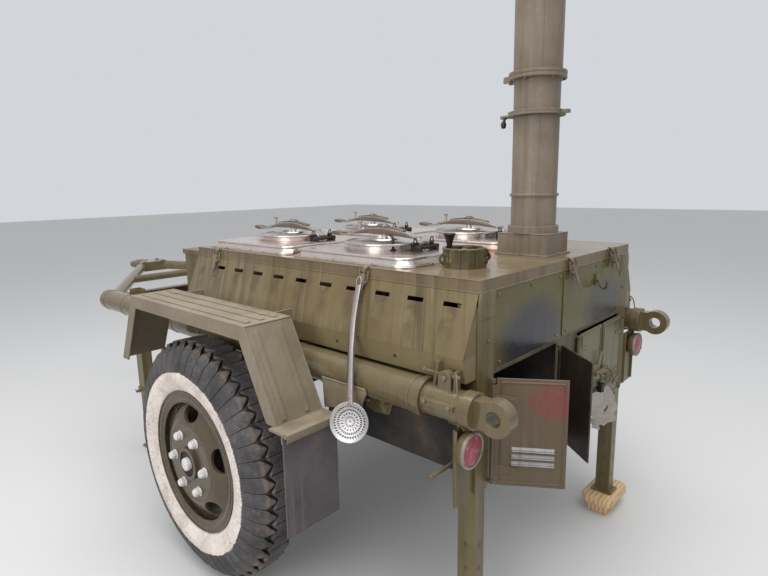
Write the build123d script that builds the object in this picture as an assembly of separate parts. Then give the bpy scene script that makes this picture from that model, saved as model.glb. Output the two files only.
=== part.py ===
from build123d import *
import os
from math import atan2, cos, hypot, pi, radians, sin

# A single-axle field kitchen trailer that stands on its wheels and four legs.
# Millimetres. X points in the towing direction, Y to the left, Z up from the ground.
# Lengths along X below are taken from the middle of the mudguards, and every piece
# is moved by SHIFT when it is written, so that the origin is at the middle of the footprint.

# Overall reach
TOW_RING_TIP = 2540

# Sheet and running clearances
SHEET = 3
PLATE = 6
SEAT_GAP = 0.3
BEARING_GAP = 0.05
PANEL_GAP = 1

# Body and deck
DECK_HALF = 578
DECK_TOP = 1235
DECK_LIP = 38
BODY_REAR = -1020
BODY_FRONT = 500
SIDE_FLARE = 77
SIDE_TUCK = 15
RIDGE_RISE = 72
REAR_PANEL_INSET = 78
REAR_PANEL_HALF = DECK_HALF - REAR_PANEL_INSET
REAR_SEAM_Y = 46
REAR_SEAM_GAP = 4
VENT_COUNT = 10
VENT_FIRST_X = 288
VENT_PITCH = -136
VENT_LENGTH = 62
VENT_HEIGHT = 13
VENT_DROP = 76
VENT_Z = DECK_TOP - VENT_DROP

# Side tubes of the frame, under the outer edges of the body
TUBE_R = 55
TUBE_WALL = 6
TUBE_Z = 891
TUBE_INSET = 20
TUBE_FRONT = 1385
TUBE_REAR = BODY_REAR + 115
SIDE_GAP = 4
RIDGE_Y = DECK_HALF + SIDE_FLARE
SIDE_FOOT_Y = RIDGE_Y - SIDE_TUCK
TUBE_Y = SIDE_FOOT_Y + TUBE_INSET
SIDE_FOOT_Z = TUBE_Z + TUBE_R + SIDE_GAP
RIDGE_Z = SIDE_FOOT_Z + RIDGE_RISE

# Cross members
CROSS_WIDE = 45
CROSS_HIGH = 64
CROSS_WALL = 5
SILL_THICK = 4

# Legs and the square sleeves that they slide in
SLEEVE_WIDE = 58
SLEEVE_LONG = 70
SLEEVE_WALL = 3.5
LEG_INSET = 20
LEG_Y = DECK_HALF - LEG_INSET
REAR_LEG_X = BODY_REAR + SLEEVE_LONG / 2
FRONT_LEG_X = TUBE_FRONT - 135
REAR_SLEEVE_FOOT = 590
REAR_SLEEVE_TOP = DECK_TOP - 75
FRONT_SLEEVE_FOOT = 345
FRONT_SLEEVE_TOP = TUBE_Z + 59
REAR_LEG_TOP = 750
FRONT_LEG_TOP = 560
LEG_WALL = 4
LEG_PIN_R = 6
LEG_PIN_Y = TUBE_Y + 105
LEG_PIN_Z = 710
BAND_PROUD = 6
BAND_HIGH = 28
FOOT_LONG = 92
FOOT_WIDE = 78
FOOT_THICK = 10

# Ground block of two pine offcuts
BLOCK_LOW = 50
BLOCK_HIGH = 35
BLOCK_TOP = BLOCK_LOW + BLOCK_HIGH

# Wheels
AXLE_X = 34
AXLE_Z = 470
WHEEL_OUTSET = 182
WHEEL_Y = TUBE_Y + WHEEL_OUTSET
TYRE_R = 470
TYRE_HALF_WIDTH = 104
TREAD_HALF = 28
SHOULDER_DROP = 22
SHOULDER_INSET = 30
SIDEWALL_DROP = 92
CAVITY_INSET = 40
LUGS = 48
GROOVE_RISE = 46
GROOVE_HALF = 40
GROOVE_FOOT_DROP = 60
BEAD_R = 254
RIM_FLANGE_R = 277
RIM_HALF_WIDTH = 85
RIM_THICK = 5
RIM_LIP_R = 232
NUT_PLANE = 97
DISC_THICK = 8
STUD_CIRCLE_R = 111.1
STUD_COUNT = 6
STUD_R = 10
STUD_PROUD = 24
HAND_HOLES = 5
HAND_HOLE_DEEP = 62
HAND_HOLE_LONG = 96
HAND_CIRCLE_R = 192
HUB_R = 62
HUB_RING_WALL = 12
HUB_RING_PROUD = 14
HUB_FLOOR_PROUD = 6
HUB_CAP_R = 24
HUB_CAP_PROUD = 24
DRUM_R = 170
DRUM_LONG = 90
SPINDLE_R = 30
SPINDLE_END = 88
DRUM_GAP = 6

# Suspension
TORSION_X = AXLE_X + 276
TORSION_Z = AXLE_Z + 170
TORSION_R = 48
PIVOT_R = 58
AXLE_BOSS_R = 52
ARM_THICK = 50
ARM_INNER_Y = TUBE_Y - 30
HANGER_THICK = 20
HANGER_GAP = 4

# Mudguards
GUARD_INNER = TUBE_Y + 100
GUARD_WIDE = 185
GUARD_OUTER = GUARD_INNER + GUARD_WIDE
GUARD_TOP = AXLE_Z + TYRE_R + 136
GUARD_DROP = 290
GUARD_FOOT = GUARD_TOP - GUARD_DROP
GUARD_FLAT = 400
GUARD_REACH = 545
GUARD_LIP = 45
GUARD_RIBS = 3
GUARD_RIB_PITCH = 53
GUARD_RIB_WIDE = 18
GUARD_RIB_PROUD = 4
SLOPE_RIBS_Y = (GUARD_INNER + 60, GUARD_OUTER - 35)
GUARD_ARM_X = 300
FLAP_BACK = 55
FLAP_X = -GUARD_REACH - FLAP_BACK
FLAP_HIGH = 330
FLAP_THICK = 6
FLAP_TOP = GUARD_FOOT - 4
FLAP_OVERHANG = 20
STEP_Y = (GUARD_INNER - 5, GUARD_OUTER + FLAP_OVERHANG)

# Fireboxes under the rear boilers
FIREBOX_FOOT = 600
FIREBOX_TOP = SIDE_FOOT_Z - 5
FIREBOX_FRONT = -300
FIREBOX_NEAR = 40
FIREBOX_FAR = REAR_PANEL_HALF + 22
FIREBOX_WALL = 4
FIREBOX_BACK = 8
GRATE_Z = 690
GRATE_BARS = 8
GRATE_BAR_WIDE = 16
GRATE_BAR_HIGH = 12
REAR_PANEL_FOOT = FIREBOX_TOP + 14

# Firebox doors
DOOR_THICK = 5
DOOR_STANDOFF = 12
DOOR_FOOT = FIREBOX_FOOT + 3
DOOR_TOP = FIREBOX_TOP - 4
DOOR_OUTER_Y = REAR_PANEL_HALF + 20
DOOR_INNER_Y = 78
DOOR_GAP = 14
DOOR_WIDE = (DOOR_OUTER_Y - DOOR_INNER_Y - DOOR_GAP) / 2
DOOR_PIN_R = 5
DOOR_BARREL_R = 8
DOOR_EAR = 10
DOOR_OPEN_OUTER = 57
DOOR_OPEN_INNER = 52
CENTRE_STRIP_HALF = DOOR_INNER_Y + 6
DOOR_HINGE_X = BODY_REAR - DOOR_STANDOFF
LOUVRES = 3
LOUVRE_PITCH = 22
LOUVRE_LONG = 130
LOUVRE_PROUD = 9
LOUVRE_HIGH = 15

# Front stove under the front boilers
STOVE_REAR = -180
STOVE_FRONT = BODY_FRONT - 20
STOVE_INSET = 58
STOVE_HALF = DECK_HALF - STOVE_INSET
STOVE_FOOT = 720

# Boilers: their pans stand proud of the deck, their pots hang below it
PAN_HIGH = 30
PAN_NEAR = 40
PAN_FAR = DECK_HALF - 38
PAN_CORNER = 60
PAN_FLANGE = 12
PAN_FLANGE_THICK = 5
PAN_TAPER = 30
POT_INSET = 30
POT_FOOT = SIDE_FOOT_Z + 15
POT_WALL = 4
NECK_R = 142
NECK_WALL = 5
NECK_HIGH = 16
PANS = (
    # name, rear edge x, front edge x, lid centre x, lid centre y
    ("rear", BODY_REAR + 305, -140, -400, 290),
    ("front", -100, BODY_FRONT - 40, 190, 265),
)

# Boiler lids and their bows
LID_R = 158
LID_THICK = 5
LID_DOME = 16
LID_FLAT = 14
LID_GAP = 1
BOW_WIDE = 34
BOW_THICK = 9
BOW_RISE = 58
BOW_REACH = 120
BOW_BOSS_R = 13
BOW_BOSS_PROUD = 6
BOW_PIN_R = 6
BOW_PIN_HIGH = 36
BOW_PIN_INSET = 25
HINGE_BACK = 186
HINGE_PIN_R = 7
HINGE_EAR = 10
HINGE_EAR_R = 11
HINGE_Z = DECK_TOP + PAN_HIGH + NECK_HIGH + 8

# Chimney
CHIMNEY_X = BODY_REAR + 180
CHIMNEY_Y = -60
CHIMNEY_BASE_LONG = 200
CHIMNEY_BASE_WIDE = 170
CHIMNEY_BASE_FLANGE = 8
CHIMNEY_BASE_TOP = DECK_TOP + 80
COLLAR_HIGH = 27
COLLAR_WALL = 10
LOWER_PIPE_R = 82.5
UPPER_PIPE_R = 86
PIPE_WALL = 3
BEAD_Z = DECK_TOP + 215
BEAD_HIGH = 10
BEAD_PROUD = 6
DAMPER_FOOT = DECK_TOP + 510
DAMPER_TOP = DECK_TOP + 640
CHIMNEY_TOP = 2450
FLANGE_R = 102
FLANGE_THICK = 12
RIM_BAND_HIGH = 8
RIM_BAND_PROUD = 4
STACK_EAR_R = 10
STACK_EAR_THICK = 10
STACK_EAR_Y = 20
STACK_PIN_R = 5
STACK_HINGE_X = CHIMNEY_X + FLANGE_R + 14
STACK_HINGE_Z = DAMPER_TOP + PANEL_GAP

# Front stowage box
BOX_FRONT = BODY_FRONT + 280
BOX_HALF = 500
BOX_FOOT = SIDE_FOOT_Z + 15
BOX_TOP = DECK_TOP - 39
BOX_LID_OVERHANG = 8
BOX_LID_RIM = 20
BOX_BARREL_R = 6
BOX_BARREL_INSET = 60

# Filler fitting on the deck
FILLER_X = BODY_REAR + 190
FILLER_INSET = 198
FILLER_Y = DECK_HALF - FILLER_INSET
FILLER_FLATS = 130
FILLER_HIGH = 60
FILLER_WALL = 5
FILLER_RECESS = 16
FILLER_KNOB_R = 9
FILLER_RING_MEAN_R = 16
FILLER_RING_R = 3.5

# Latches that hold the deck's lip down
SIDE_LATCHES_X = (-575, 330)
REAR_LATCHES_Y = (0, -380)
LATCH_WIDE = 28
LATCH_DEEP = 12
LATCH_DROP = 70
REAR_LATCH_DROP = 92
LATCH_RISE = 8

# Tail lamps
LAMP_Y = TUBE_Y + 5
LAMP_Z = TUBE_Z - 116
LAMP_R = 52
LAMP_BACK_R = 30
LAMP_BACK_DEEP = 24
LAMP_DEEP = 38
LAMP_RIM = 3
LENS_R = 44
LENS_DOME = 11
LAMP_PLATE_EDGE = 35

# Drawbar
ARM_R = 33
ARM_START_X = TUBE_FRONT - 45
HEAD_X = TOW_RING_TIP - 250
HEAD_Y = 62
HEAD_Z = TUBE_Z + 39
HEAD_LONG = 130
HEAD_HIGH = 68
HEAD_NOSE = 60
BRACE_SHARE = 0.52
BRACE_R = 24
SHANK_R = 26
RING_R = 25
RING_MEAN_R = 52
RING_BORE_R = 30
RING_CENTRE = TOW_RING_TIP - RING_MEAN_R - RING_R

# Rear eyes
EYE_BACK = 224
EYE_X = TUBE_REAR - EYE_BACK
EYE_HOLE_R = 22.5
EYE_R = 51
EYE_THICK = 42
REAR_EYE_TIP = EYE_X - EYE_R
EYE_STEPS = (
    # how far behind the tube's end it starts, how far behind it ends, radius
    (-60, 0, TUBE_R - TUBE_WALL - BEARING_GAP),
    (0, 130, 47),
    (130, 165, 53),
)

# Clamps on top of the rear eyes' plugs
CLAMP_Y = TUBE_Y + 8
CLAMP_HALF = 12
CAM_R = 22
CAM_X = TUBE_REAR - 66
CAM_Z = TUBE_Z + 77
CLAMP_STOP_X = TUBE_REAR - 98
CLAMP_SCREW_TOP = TUBE_Z + 121
CLAMP_BAR_Z = TUBE_Z + 84
TUBE_COLLAR = 22
TUBE_COLLAR_PROUD = 5

# Skimmer
SKIMMER_R = 63
SKIMMER_THICK = 3
SKIMMER_DISH_R = 149
SKIMMER_HANDLE_WIDE = 18
SKIMMER_HANDLE_THICK = 3

# The open outer door reaches further back than the eyes.
DOOR_SWING = radians(DOOR_OPEN_OUTER)
DOOR_REACH = DOOR_HINGE_X - DOOR_WIDE * sin(DOOR_SWING) - DOOR_THICK / 2 * cos(DOOR_SWING)
SHIFT = -(TOW_RING_TIP + min(REAR_EYE_TIP, DOOR_REACH)) / 2

pieces = {}


def block(x, y, z):
    """A box between pairs of coordinates."""
    size = [abs(pair[1] - pair[0]) for pair in (x, y, z)]
    middle = [(pair[0] + pair[1]) / 2 for pair in (x, y, z)]
    return Pos(*middle) * Box(*size)


def rod(start, end, radius):
    """A round bar from one point to another."""
    line = Vector(*end) - Vector(*start)
    place = Plane(origin=start, z_dir=line).location
    return place * Pos(0, 0, line.length / 2) * Cylinder(radius, line.length)


def turned(profile, centre):
    """A ring about an axis along Y: the profile lists (radius, y) corners."""
    face = make_face(Plane.XY * Polyline(profile, close=True))
    ring = revolve(face, axis=Axis.Y)
    return Pos(*centre) * ring


def prism_x(points, x):
    """A profile of (y, z) corners, drawn out between two places along X."""
    face = make_face(Plane.YZ * Polyline(points, close=True))
    return Pos(x[0], 0, 0) * extrude(face, x[1] - x[0], dir=(1, 0, 0))


def prism_y(points, y):
    """A profile of (x, z) corners, drawn out between two places along Y."""
    outline = Polyline([(px, 0, pz) for px, pz in points], close=True)
    return Pos(0, y[0], 0) * extrude(make_face(outline), y[1] - y[0], dir=(0, 1, 0))


def other_side(shape):
    return mirror(shape, about=Plane.XZ)


def pair(name, left_shape):
    """The same piece on both sides, as two nodes."""
    pieces[name + "_left"] = left_shape
    pieces[name + "_right"] = other_side(left_shape)


def group(*shapes):
    """Several solids that don't touch, as one node."""
    solids = [solid for shape in shapes for solid in shape.solids()]
    return Compound(solids)


def tube_envelope(radius=TUBE_R):
    return rod((REAR_EYE_TIP, TUBE_Y, TUBE_Z), (TUBE_FRONT, TUBE_Y, TUBE_Z), radius)


# Frame

def side_tube():
    outer = rod((TUBE_REAR, TUBE_Y, TUBE_Z), (TUBE_FRONT - PLATE, TUBE_Y, TUBE_Z), TUBE_R)
    bore = rod((TUBE_REAR, TUBE_Y, TUBE_Z), (TUBE_FRONT - PLATE, TUBE_Y, TUBE_Z), TUBE_R - TUBE_WALL)
    cap = rod((TUBE_FRONT - PLATE, TUBE_Y, TUBE_Z), (TUBE_FRONT, TUBE_Y, TUBE_Z), TUBE_R)
    collar = rod((TUBE_REAR, TUBE_Y, TUBE_Z), (TUBE_REAR + TUBE_COLLAR, TUBE_Y, TUBE_Z),
                 TUBE_R + TUBE_COLLAR_PROUD)
    return outer + collar - bore + cap


def rear_eye():
    """A stepped plug in the tube's end with a flat lug, pierced from side to side."""
    eye = None
    for start, end, radius in EYE_STEPS:
        step = rod((TUBE_REAR - end, TUBE_Y, TUBE_Z), (TUBE_REAR - start, TUBE_Y, TUBE_Z), radius)
        eye = step if eye is None else eye + step
    across = (TUBE_Y - EYE_THICK / 2, TUBE_Y + EYE_THICK / 2)
    neck_x = TUBE_REAR - EYE_STEPS[-1][1]
    high = EYE_R * 0.8
    lug = block((EYE_X, neck_x + SHEET), across, (TUBE_Z - high, TUBE_Z + high))
    lug += rod((EYE_X, across[0], TUBE_Z), (EYE_X, across[1], TUBE_Z), EYE_R)
    hole = rod((EYE_X, across[0] - EYE_R, TUBE_Z), (EYE_X, across[1] + EYE_R, TUBE_Z), EYE_HOLE_R)
    return eye + lug - hole + plug_clamp()


def plug_clamp():
    """A round-backed cam with its stop, a leaning screw with a crossbar, and a lock plate."""
    across = (CLAMP_Y - CLAMP_HALF, CLAMP_Y + CLAMP_HALF)
    foot = TUBE_Z + EYE_STEPS[1][2] - 8
    clamp = block((CAM_X - CAM_R, CAM_X + CAM_R), across, (foot, CAM_Z))
    clamp += rod((CAM_X, across[0], CAM_Z), (CAM_X, across[1], CAM_Z), CAM_R)
    clamp += block((CLAMP_STOP_X - PLATE, CLAMP_STOP_X), across, (foot, CAM_Z + CAM_R + 4))
    clamp += rod((TUBE_REAR - 22, CLAMP_Y, foot), (TUBE_REAR - 38, CLAMP_Y, CLAMP_SCREW_TOP), 6)
    clamp += rod((TUBE_REAR + 10, CLAMP_Y, CLAMP_BAR_Z), (TUBE_REAR - 52, CLAMP_Y, CLAMP_BAR_Z), 5)
    outer = TUBE_Y + EYE_STEPS[1][2]
    clamp += block((TUBE_REAR - 118, TUBE_REAR - 8), (outer - 7, outer + 8), (TUBE_Z, TUBE_Z + 18))
    return clamp


CROSS_MEMBERS_X = (FIREBOX_FRONT + 35, BODY_FRONT + 60, FRONT_LEG_X + SLEEVE_LONG / 2)


def channel(x):
    """A channel across the frame from one side tube to the other, open towards the rear."""
    reach = TUBE_Y - TUBE_INSET
    low = TUBE_Z - CROSS_HIGH / 2
    high = TUBE_Z + CROSS_HIGH / 2
    outer = block((x, x + CROSS_WIDE), (-reach, reach), (low, high))
    inner = block((x, x + CROSS_WIDE - CROSS_WALL), (-reach, reach), (low + CROSS_WALL, high - CROSS_WALL))
    return outer - inner - tube_envelope() - other_side(tube_envelope())


def cross_members():
    thick = (BODY_REAR, BODY_REAR + SILL_THICK)
    across = (-REAR_PANEL_HALF, REAR_PANEL_HALF)
    sill = block(thick, across, (FIREBOX_TOP, REAR_PANEL_FOOT))
    sill += block((BODY_REAR, REAR_LEG_X), across, (FIREBOX_TOP, FIREBOX_TOP + SILL_THICK))
    sill += block(thick, (-CENTRE_STRIP_HALF, CENTRE_STRIP_HALF), (FIREBOX_FOOT, FIREBOX_TOP))
    return group(*[channel(x) for x in CROSS_MEMBERS_X], sill)


def sleeve(x, foot, top):
    """A square tube that a leg slides in."""
    outer = block((x - SLEEVE_LONG / 2, x + SLEEVE_LONG / 2),
                  (LEG_Y - SLEEVE_WIDE / 2, LEG_Y + SLEEVE_WIDE / 2), (foot, top))
    bore = block((x - SLEEVE_LONG / 2 + SLEEVE_WALL, x + SLEEVE_LONG / 2 - SLEEVE_WALL),
                 (LEG_Y - SLEEVE_WIDE / 2 + SLEEVE_WALL, LEG_Y + SLEEVE_WIDE / 2 - SLEEVE_WALL),
                 (foot, top))
    return outer - bore


def leg_posts():
    """The four sleeves, with the plates and links that join them to the body and side tubes."""
    inner = LEG_Y - SLEEVE_WIDE / 2 + SLEEVE_WALL / 2
    outer = LEG_Y + SLEEVE_WIDE / 2 - SLEEVE_WALL / 2
    plate_x = (BODY_REAR, BODY_REAR + SILL_THICK)
    rear = sleeve(REAR_LEG_X, REAR_SLEEVE_FOOT, REAR_SLEEVE_TOP)
    rear += block(plate_x, (REAR_PANEL_HALF, inner), (FIREBOX_FOOT, DECK_TOP - DECK_LIP))
    rear += block(plate_x, (outer, LAMP_Y + LAMP_PLATE_EDGE), (FIREBOX_FOOT, TUBE_Z - TUBE_R - PANEL_GAP))
    rear += link(REAR_LEG_X, outer, 40, 30, EYE_STEPS[1][2])
    rear += rod((REAR_LEG_X, outer, LEG_PIN_Z), (REAR_LEG_X, LEG_PIN_Y, LEG_PIN_Z), LEG_PIN_R)
    rear += rod((REAR_LEG_X, LEG_PIN_Y - 8, LEG_PIN_Z), (REAR_LEG_X, LEG_PIN_Y, LEG_PIN_Z), LEG_PIN_R + 4)
    front = sleeve(FRONT_LEG_X, FRONT_SLEEVE_FOOT, FRONT_SLEEVE_TOP)
    front += link(FRONT_LEG_X, outer, 50, 60, TUBE_R)
    front += sleeve_band(FRONT_LEG_X, FRONT_SLEEVE_FOOT)
    return group(rear, front, other_side(rear), other_side(front))


def sleeve_band(x, foot):
    """A thick band round a sleeve's foot, with the screw that clamps the leg."""
    long = SLEEVE_LONG / 2
    wide = SLEEVE_WIDE / 2
    high = (foot, foot + BAND_HIGH)
    band = block((x - long - BAND_PROUD, x + long + BAND_PROUD),
                 (LEG_Y - wide - BAND_PROUD, LEG_Y + wide + BAND_PROUD), high)
    band -= block((x - long + 1, x + long - 1), (LEG_Y - wide + 1, LEG_Y + wide - 1), high)
    z = foot + BAND_HIGH / 2
    outer = LEG_Y + wide + BAND_PROUD
    band += rod((x, outer - 1, z), (x, outer + 30, z), 7)
    return band + rod((x - 24, outer + 22, z), (x + 24, outer + 22, z), 4)


def link(x, inner_y, long, high, radius):
    """A short bar from a sleeve to the round bar beside it."""
    bar = block((x - long / 2, x + long / 2), (inner_y, TUBE_Y), (TUBE_Z - high / 2, TUBE_Z + high / 2))
    return bar - tube_envelope(radius)


def drawbar():
    """Two arms that run together from the side tubes to a flat head."""
    start = Vector(ARM_START_X, TUBE_Y, TUBE_Z)
    end = Vector(HEAD_X, HEAD_Y, HEAD_Z)
    arm = rod(start, end, ARM_R) - tube_envelope(TUBE_R)
    reach = HEAD_Y + ARM_R
    head = block((HEAD_X + HEAD_NOSE - HEAD_LONG, HEAD_X + HEAD_NOSE), (-reach, reach),
                 (HEAD_Z - HEAD_HIGH / 2, HEAD_Z + HEAD_HIGH / 2))
    middle = start + (end - start) * BRACE_SHARE
    brace = rod((middle.X, -middle.Y, middle.Z), middle, BRACE_R)
    return arm + other_side(arm) + head + brace


def tow_ring():
    ring = Pos(RING_CENTRE, 0, HEAD_Z) * (Torus(RING_MEAN_R, RING_R) - Cylinder(RING_BORE_R, 2 * RING_R))
    shank = rod((HEAD_X + HEAD_NOSE, 0, HEAD_Z), (RING_CENTRE - RING_MEAN_R, 0, HEAD_Z), SHANK_R)
    return ring + shank


# Suspension and wheels

def torsion_beam():
    """The torsion housing across the frame, with a hanger plate up to each side tube."""
    hanger_y = ARM_INNER_Y - HANGER_GAP - HANGER_THICK
    end = hanger_y + HANGER_THICK / 10
    beam = rod((TORSION_X, -end, TORSION_Z), (TORSION_X, end, TORSION_Z), TORSION_R)
    foot = TORSION_Z - TORSION_R - 14
    top = TUBE_Z - 20
    corners = [(TORSION_X - 60, foot), (TORSION_X + 60, foot), (TORSION_X + 95, top), (TORSION_X - 95, top)]
    hanger = prism_y(corners, (hanger_y, hanger_y + HANGER_THICK)) - tube_envelope()
    return beam + hanger + other_side(hanger)


def swing_arm():
    """A trailing arm with a boss at each end, and the spindle that carries the hub."""
    outer = ARM_INNER_Y + ARM_THICK
    pivot = rod((TORSION_X, ARM_INNER_Y, TORSION_Z), (TORSION_X, outer, TORSION_Z), PIVOT_R)
    boss = rod((AXLE_X, ARM_INNER_Y, AXLE_Z), (AXLE_X, outer, AXLE_Z), AXLE_BOSS_R)
    slope = atan2(AXLE_Z - TORSION_Z, AXLE_X - TORSION_X)
    side = (-sin(slope), cos(slope))
    at_pivot = PIVOT_R - 8
    at_axle = AXLE_BOSS_R - 8
    corners = [
        (TORSION_X + at_pivot * side[0], TORSION_Z + at_pivot * side[1]),
        (AXLE_X + at_axle * side[0], AXLE_Z + at_axle * side[1]),
        (AXLE_X - at_axle * side[0], AXLE_Z - at_axle * side[1]),
        (TORSION_X - at_pivot * side[0], TORSION_Z - at_pivot * side[1]),
    ]
    web = prism_y(corners, (ARM_INNER_Y + 8, outer - 8))
    spindle = rod((AXLE_X, outer, AXLE_Z), (AXLE_X, WHEEL_Y + SPINDLE_END, AXLE_Z), SPINDLE_R)
    return pivot + boss + web + spindle


def hub():
    """A brake drum, the hub barrel with its bore, six studs and a cap inside a ring."""
    bore = SPINDLE_R + BEARING_GAP
    face = NUT_PLANE - DISC_THICK
    inner = ARM_INNER_Y + ARM_THICK + DRUM_GAP - WHEEL_Y
    barrel = HUB_R + 33
    flange = STUD_CIRCLE_R + 31
    end = SPINDLE_END + 4
    ring = HUB_R - HUB_RING_WALL
    outline = [
        # radius, distance outwards from the wheel's middle plane
        (bore, inner), (DRUM_R, inner), (DRUM_R, inner + DRUM_LONG), (barrel, inner + DRUM_LONG),
        (barrel, face - 18), (flange, face - 18), (flange, face), (HUB_R, face),
        (HUB_R, NUT_PLANE + HUB_RING_PROUD), (ring, NUT_PLANE + HUB_RING_PROUD),
        (ring, NUT_PLANE + HUB_FLOOR_PROUD), (HUB_CAP_R, NUT_PLANE + HUB_FLOOR_PROUD),
        (HUB_CAP_R, NUT_PLANE + HUB_CAP_PROUD - 4),
        (HUB_CAP_R - 6, NUT_PLANE + HUB_CAP_PROUD), (0, NUT_PLANE + HUB_CAP_PROUD), (0, end), (bore, end),
    ]
    body = turned(outline, (AXLE_X, WHEEL_Y, AXLE_Z))
    for index in range(STUD_COUNT):
        turn = 2 * pi * index / STUD_COUNT
        x = AXLE_X + STUD_CIRCLE_R * cos(turn)
        z = AXLE_Z + STUD_CIRCLE_R * sin(turn)
        body += rod((x, WHEEL_Y + face - DISC_THICK / 2, z), (x, WHEEL_Y + NUT_PLANE + STUD_PROUD, z), STUD_R)
    return body


def wheel_rim():
    """The flat-based rim and its dished disc, with hand holes and stud holes."""
    w = RIM_HALF_WIDTH
    t = RIM_THICK
    rim = [
        (RIM_FLANGE_R, w), (RIM_FLANGE_R, w - t), (BEAD_R, w - t - 4), (BEAD_R, t + 4 - w),
        (RIM_FLANGE_R, t - w), (RIM_FLANGE_R, -w), (BEAD_R - t, -w), (BEAD_R - t, w - 3 * t),
        (RIM_LIP_R, w - 2 * t), (RIM_LIP_R, w - t), (BEAD_R - t, w),
    ]
    face = NUT_PLANE
    back = NUT_PLANE - DISC_THICK
    edge = BEAD_R - t + 1
    rise = HAND_CIRCLE_R - 23
    disc = [
        # radius, distance outwards: the front of the disc inwards, then its back outwards
        (edge, w / 2), (edge, w - 25), (edge - 25, w - 23), (rise, face - 6), (rise - 17, face),
        (HUB_R + 1, face), (HUB_R + 1, back), (rise - 19, back), (rise - 7, back - 8),
        (edge - 35, w / 2 + 7), (edge - 20, w / 2),
    ]
    centre = (AXLE_X, WHEEL_Y, AXLE_Z)
    wheel = turned(rim, centre) + turned(disc, centre)
    oval = Pos(HAND_CIRCLE_R, 0, 0) * (Plane.XZ * Ellipse(HAND_HOLE_DEEP / 2, HAND_HOLE_LONG / 2))
    hole = extrude(oval, face + STUD_PROUD - w / 4, dir=(0, 1, 0))
    for index in range(HAND_HOLES):
        wheel -= Pos(AXLE_X, WHEEL_Y + w / 4, AXLE_Z) * Rot(0, -360 * (index + 0.25) / HAND_HOLES, 0) * hole
    for index in range(STUD_COUNT):
        turn = 2 * pi * index / STUD_COUNT
        x = AXLE_X + STUD_CIRCLE_R * cos(turn)
        z = AXLE_Z + STUD_CIRCLE_R * sin(turn)
        wheel -= rod((x, WHEEL_Y + w, z), (x, WHEEL_Y + face + STUD_PROUD, z), STUD_R + SEAT_GAP)
    return wheel


def wheel_point(turn, across, radius, along=0):
    """A place on the left wheel: a turn from the top, y, a radius, and a step along the tread."""
    return (AXLE_X + along * cos(turn) + radius * sin(turn), WHEEL_Y + across,
            AXLE_Z - along * sin(turn) + radius * cos(turn))


def faceted(corners):
    """A solid from the corners of its flat faces."""
    return Solid(Shell([Face(Wire.make_polygon(face, close=True)) for face in corners]))


def ring_of_flats(profile):
    """A ring with one flat to a lug: the profile lists (a flat's distance from the axle, y)."""
    stretch = 1 / cos(pi / LUGS)
    faces = []
    for here, there in zip(profile, profile[1:] + profile[:1]):
        for index in range(LUGS):
            first = 2 * pi * (index - 0.5) / LUGS
            last = 2 * pi * (index + 0.5) / LUGS
            corners = ((here, first), (here, last), (there, last), (there, first))
            faces.append([wheel_point(turn, y, radius * stretch) for (radius, y), turn in corners])
    return faceted(faces)


def lug_groove(turn, side):
    """A V-shaped cut down the shoulder, pointed at both ends, which parts two lugs."""
    start = (TREAD_HALF - 1, TYRE_R + 1)
    end = (TYRE_HALF_WIDTH - 6, TYRE_R - GROOVE_FOOT_DROP - 8)
    fall = atan2(end[1] - start[1], end[0] - start[0])
    rise = (-GROOVE_RISE * sin(fall), GROOVE_RISE * cos(fall))

    def corner(point, lift=(0, 0), along=0):
        return wheel_point(turn, side * (point[0] + lift[0]), point[1] + lift[1], along)

    root = (corner(start), corner(end))
    near = [corner(start, (0, GROOVE_RISE), along) for along in (-GROOVE_HALF, GROOVE_HALF)]
    far = [corner(end, rise, along) for along in (-GROOVE_HALF, GROOVE_HALF)]
    return faceted([
        (root[0], near[0], near[1]), (root[1], far[1], far[0]),
        (root[0], root[1], far[0]), (root[0], far[0], near[0]),
        (root[0], near[1], far[1]), (root[0], far[1], root[1]),
        (near[0], far[0], far[1]), (near[0], far[1], near[1]),
    ])


def tyre():
    """A hollow tyre with flats for its round, and staggered lugs on its two shoulders."""
    half = [
        # radius, half width at that radius, outside then inside
        (TYRE_R, TREAD_HALF), (TYRE_R - SHOULDER_DROP, TYRE_HALF_WIDTH - SHOULDER_INSET),
        (TYRE_R - SIDEWALL_DROP, TYRE_HALF_WIDTH), (RIM_FLANGE_R + 9, RIM_HALF_WIDTH + 5),
        (RIM_FLANGE_R + 1, RIM_HALF_WIDTH - 5.5), (BEAD_R + 0.5, RIM_HALF_WIDTH - 9.5),
        (BEAD_R + 0.5, RIM_HALF_WIDTH - CAVITY_INSET),
        (TYRE_R - CAVITY_INSET - 5, TYRE_HALF_WIDTH - CAVITY_INSET),
    ]
    ring = ring_of_flats(half + [(radius, -across) for radius, across in reversed(half)])
    grooves = []
    for index in range(LUGS):
        grooves.append(lug_groove(2 * pi * index / LUGS, 1))
        grooves.append(lug_groove(2 * pi * (index + 0.5) / LUGS, -1))
    return ring.cut(*grooves)


# Mudguards

def guard_outline(inset):
    """The mudguard's side view, moved inwards by a distance."""
    run = (GUARD_REACH - GUARD_FLAT) / (GUARD_TOP - GUARD_FOOT)
    low = GUARD_FOOT - 2 * GUARD_LIP
    reach = GUARD_FLAT + run * (GUARD_TOP - low)
    outline = Polyline([(-reach, 0, low), (-GUARD_FLAT, 0, GUARD_TOP), (GUARD_FLAT, 0, GUARD_TOP),
                        (reach, 0, low)], close=True)
    face = make_face(outline)
    if inset:
        face = offset(face, -inset, kind=Kind.INTERSECTION)
    return face


def guard_solid(inset, y):
    return Pos(0, y[0], 0) * extrude(guard_outline(inset), y[1] - y[0], dir=(0, 1, 0))


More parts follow.
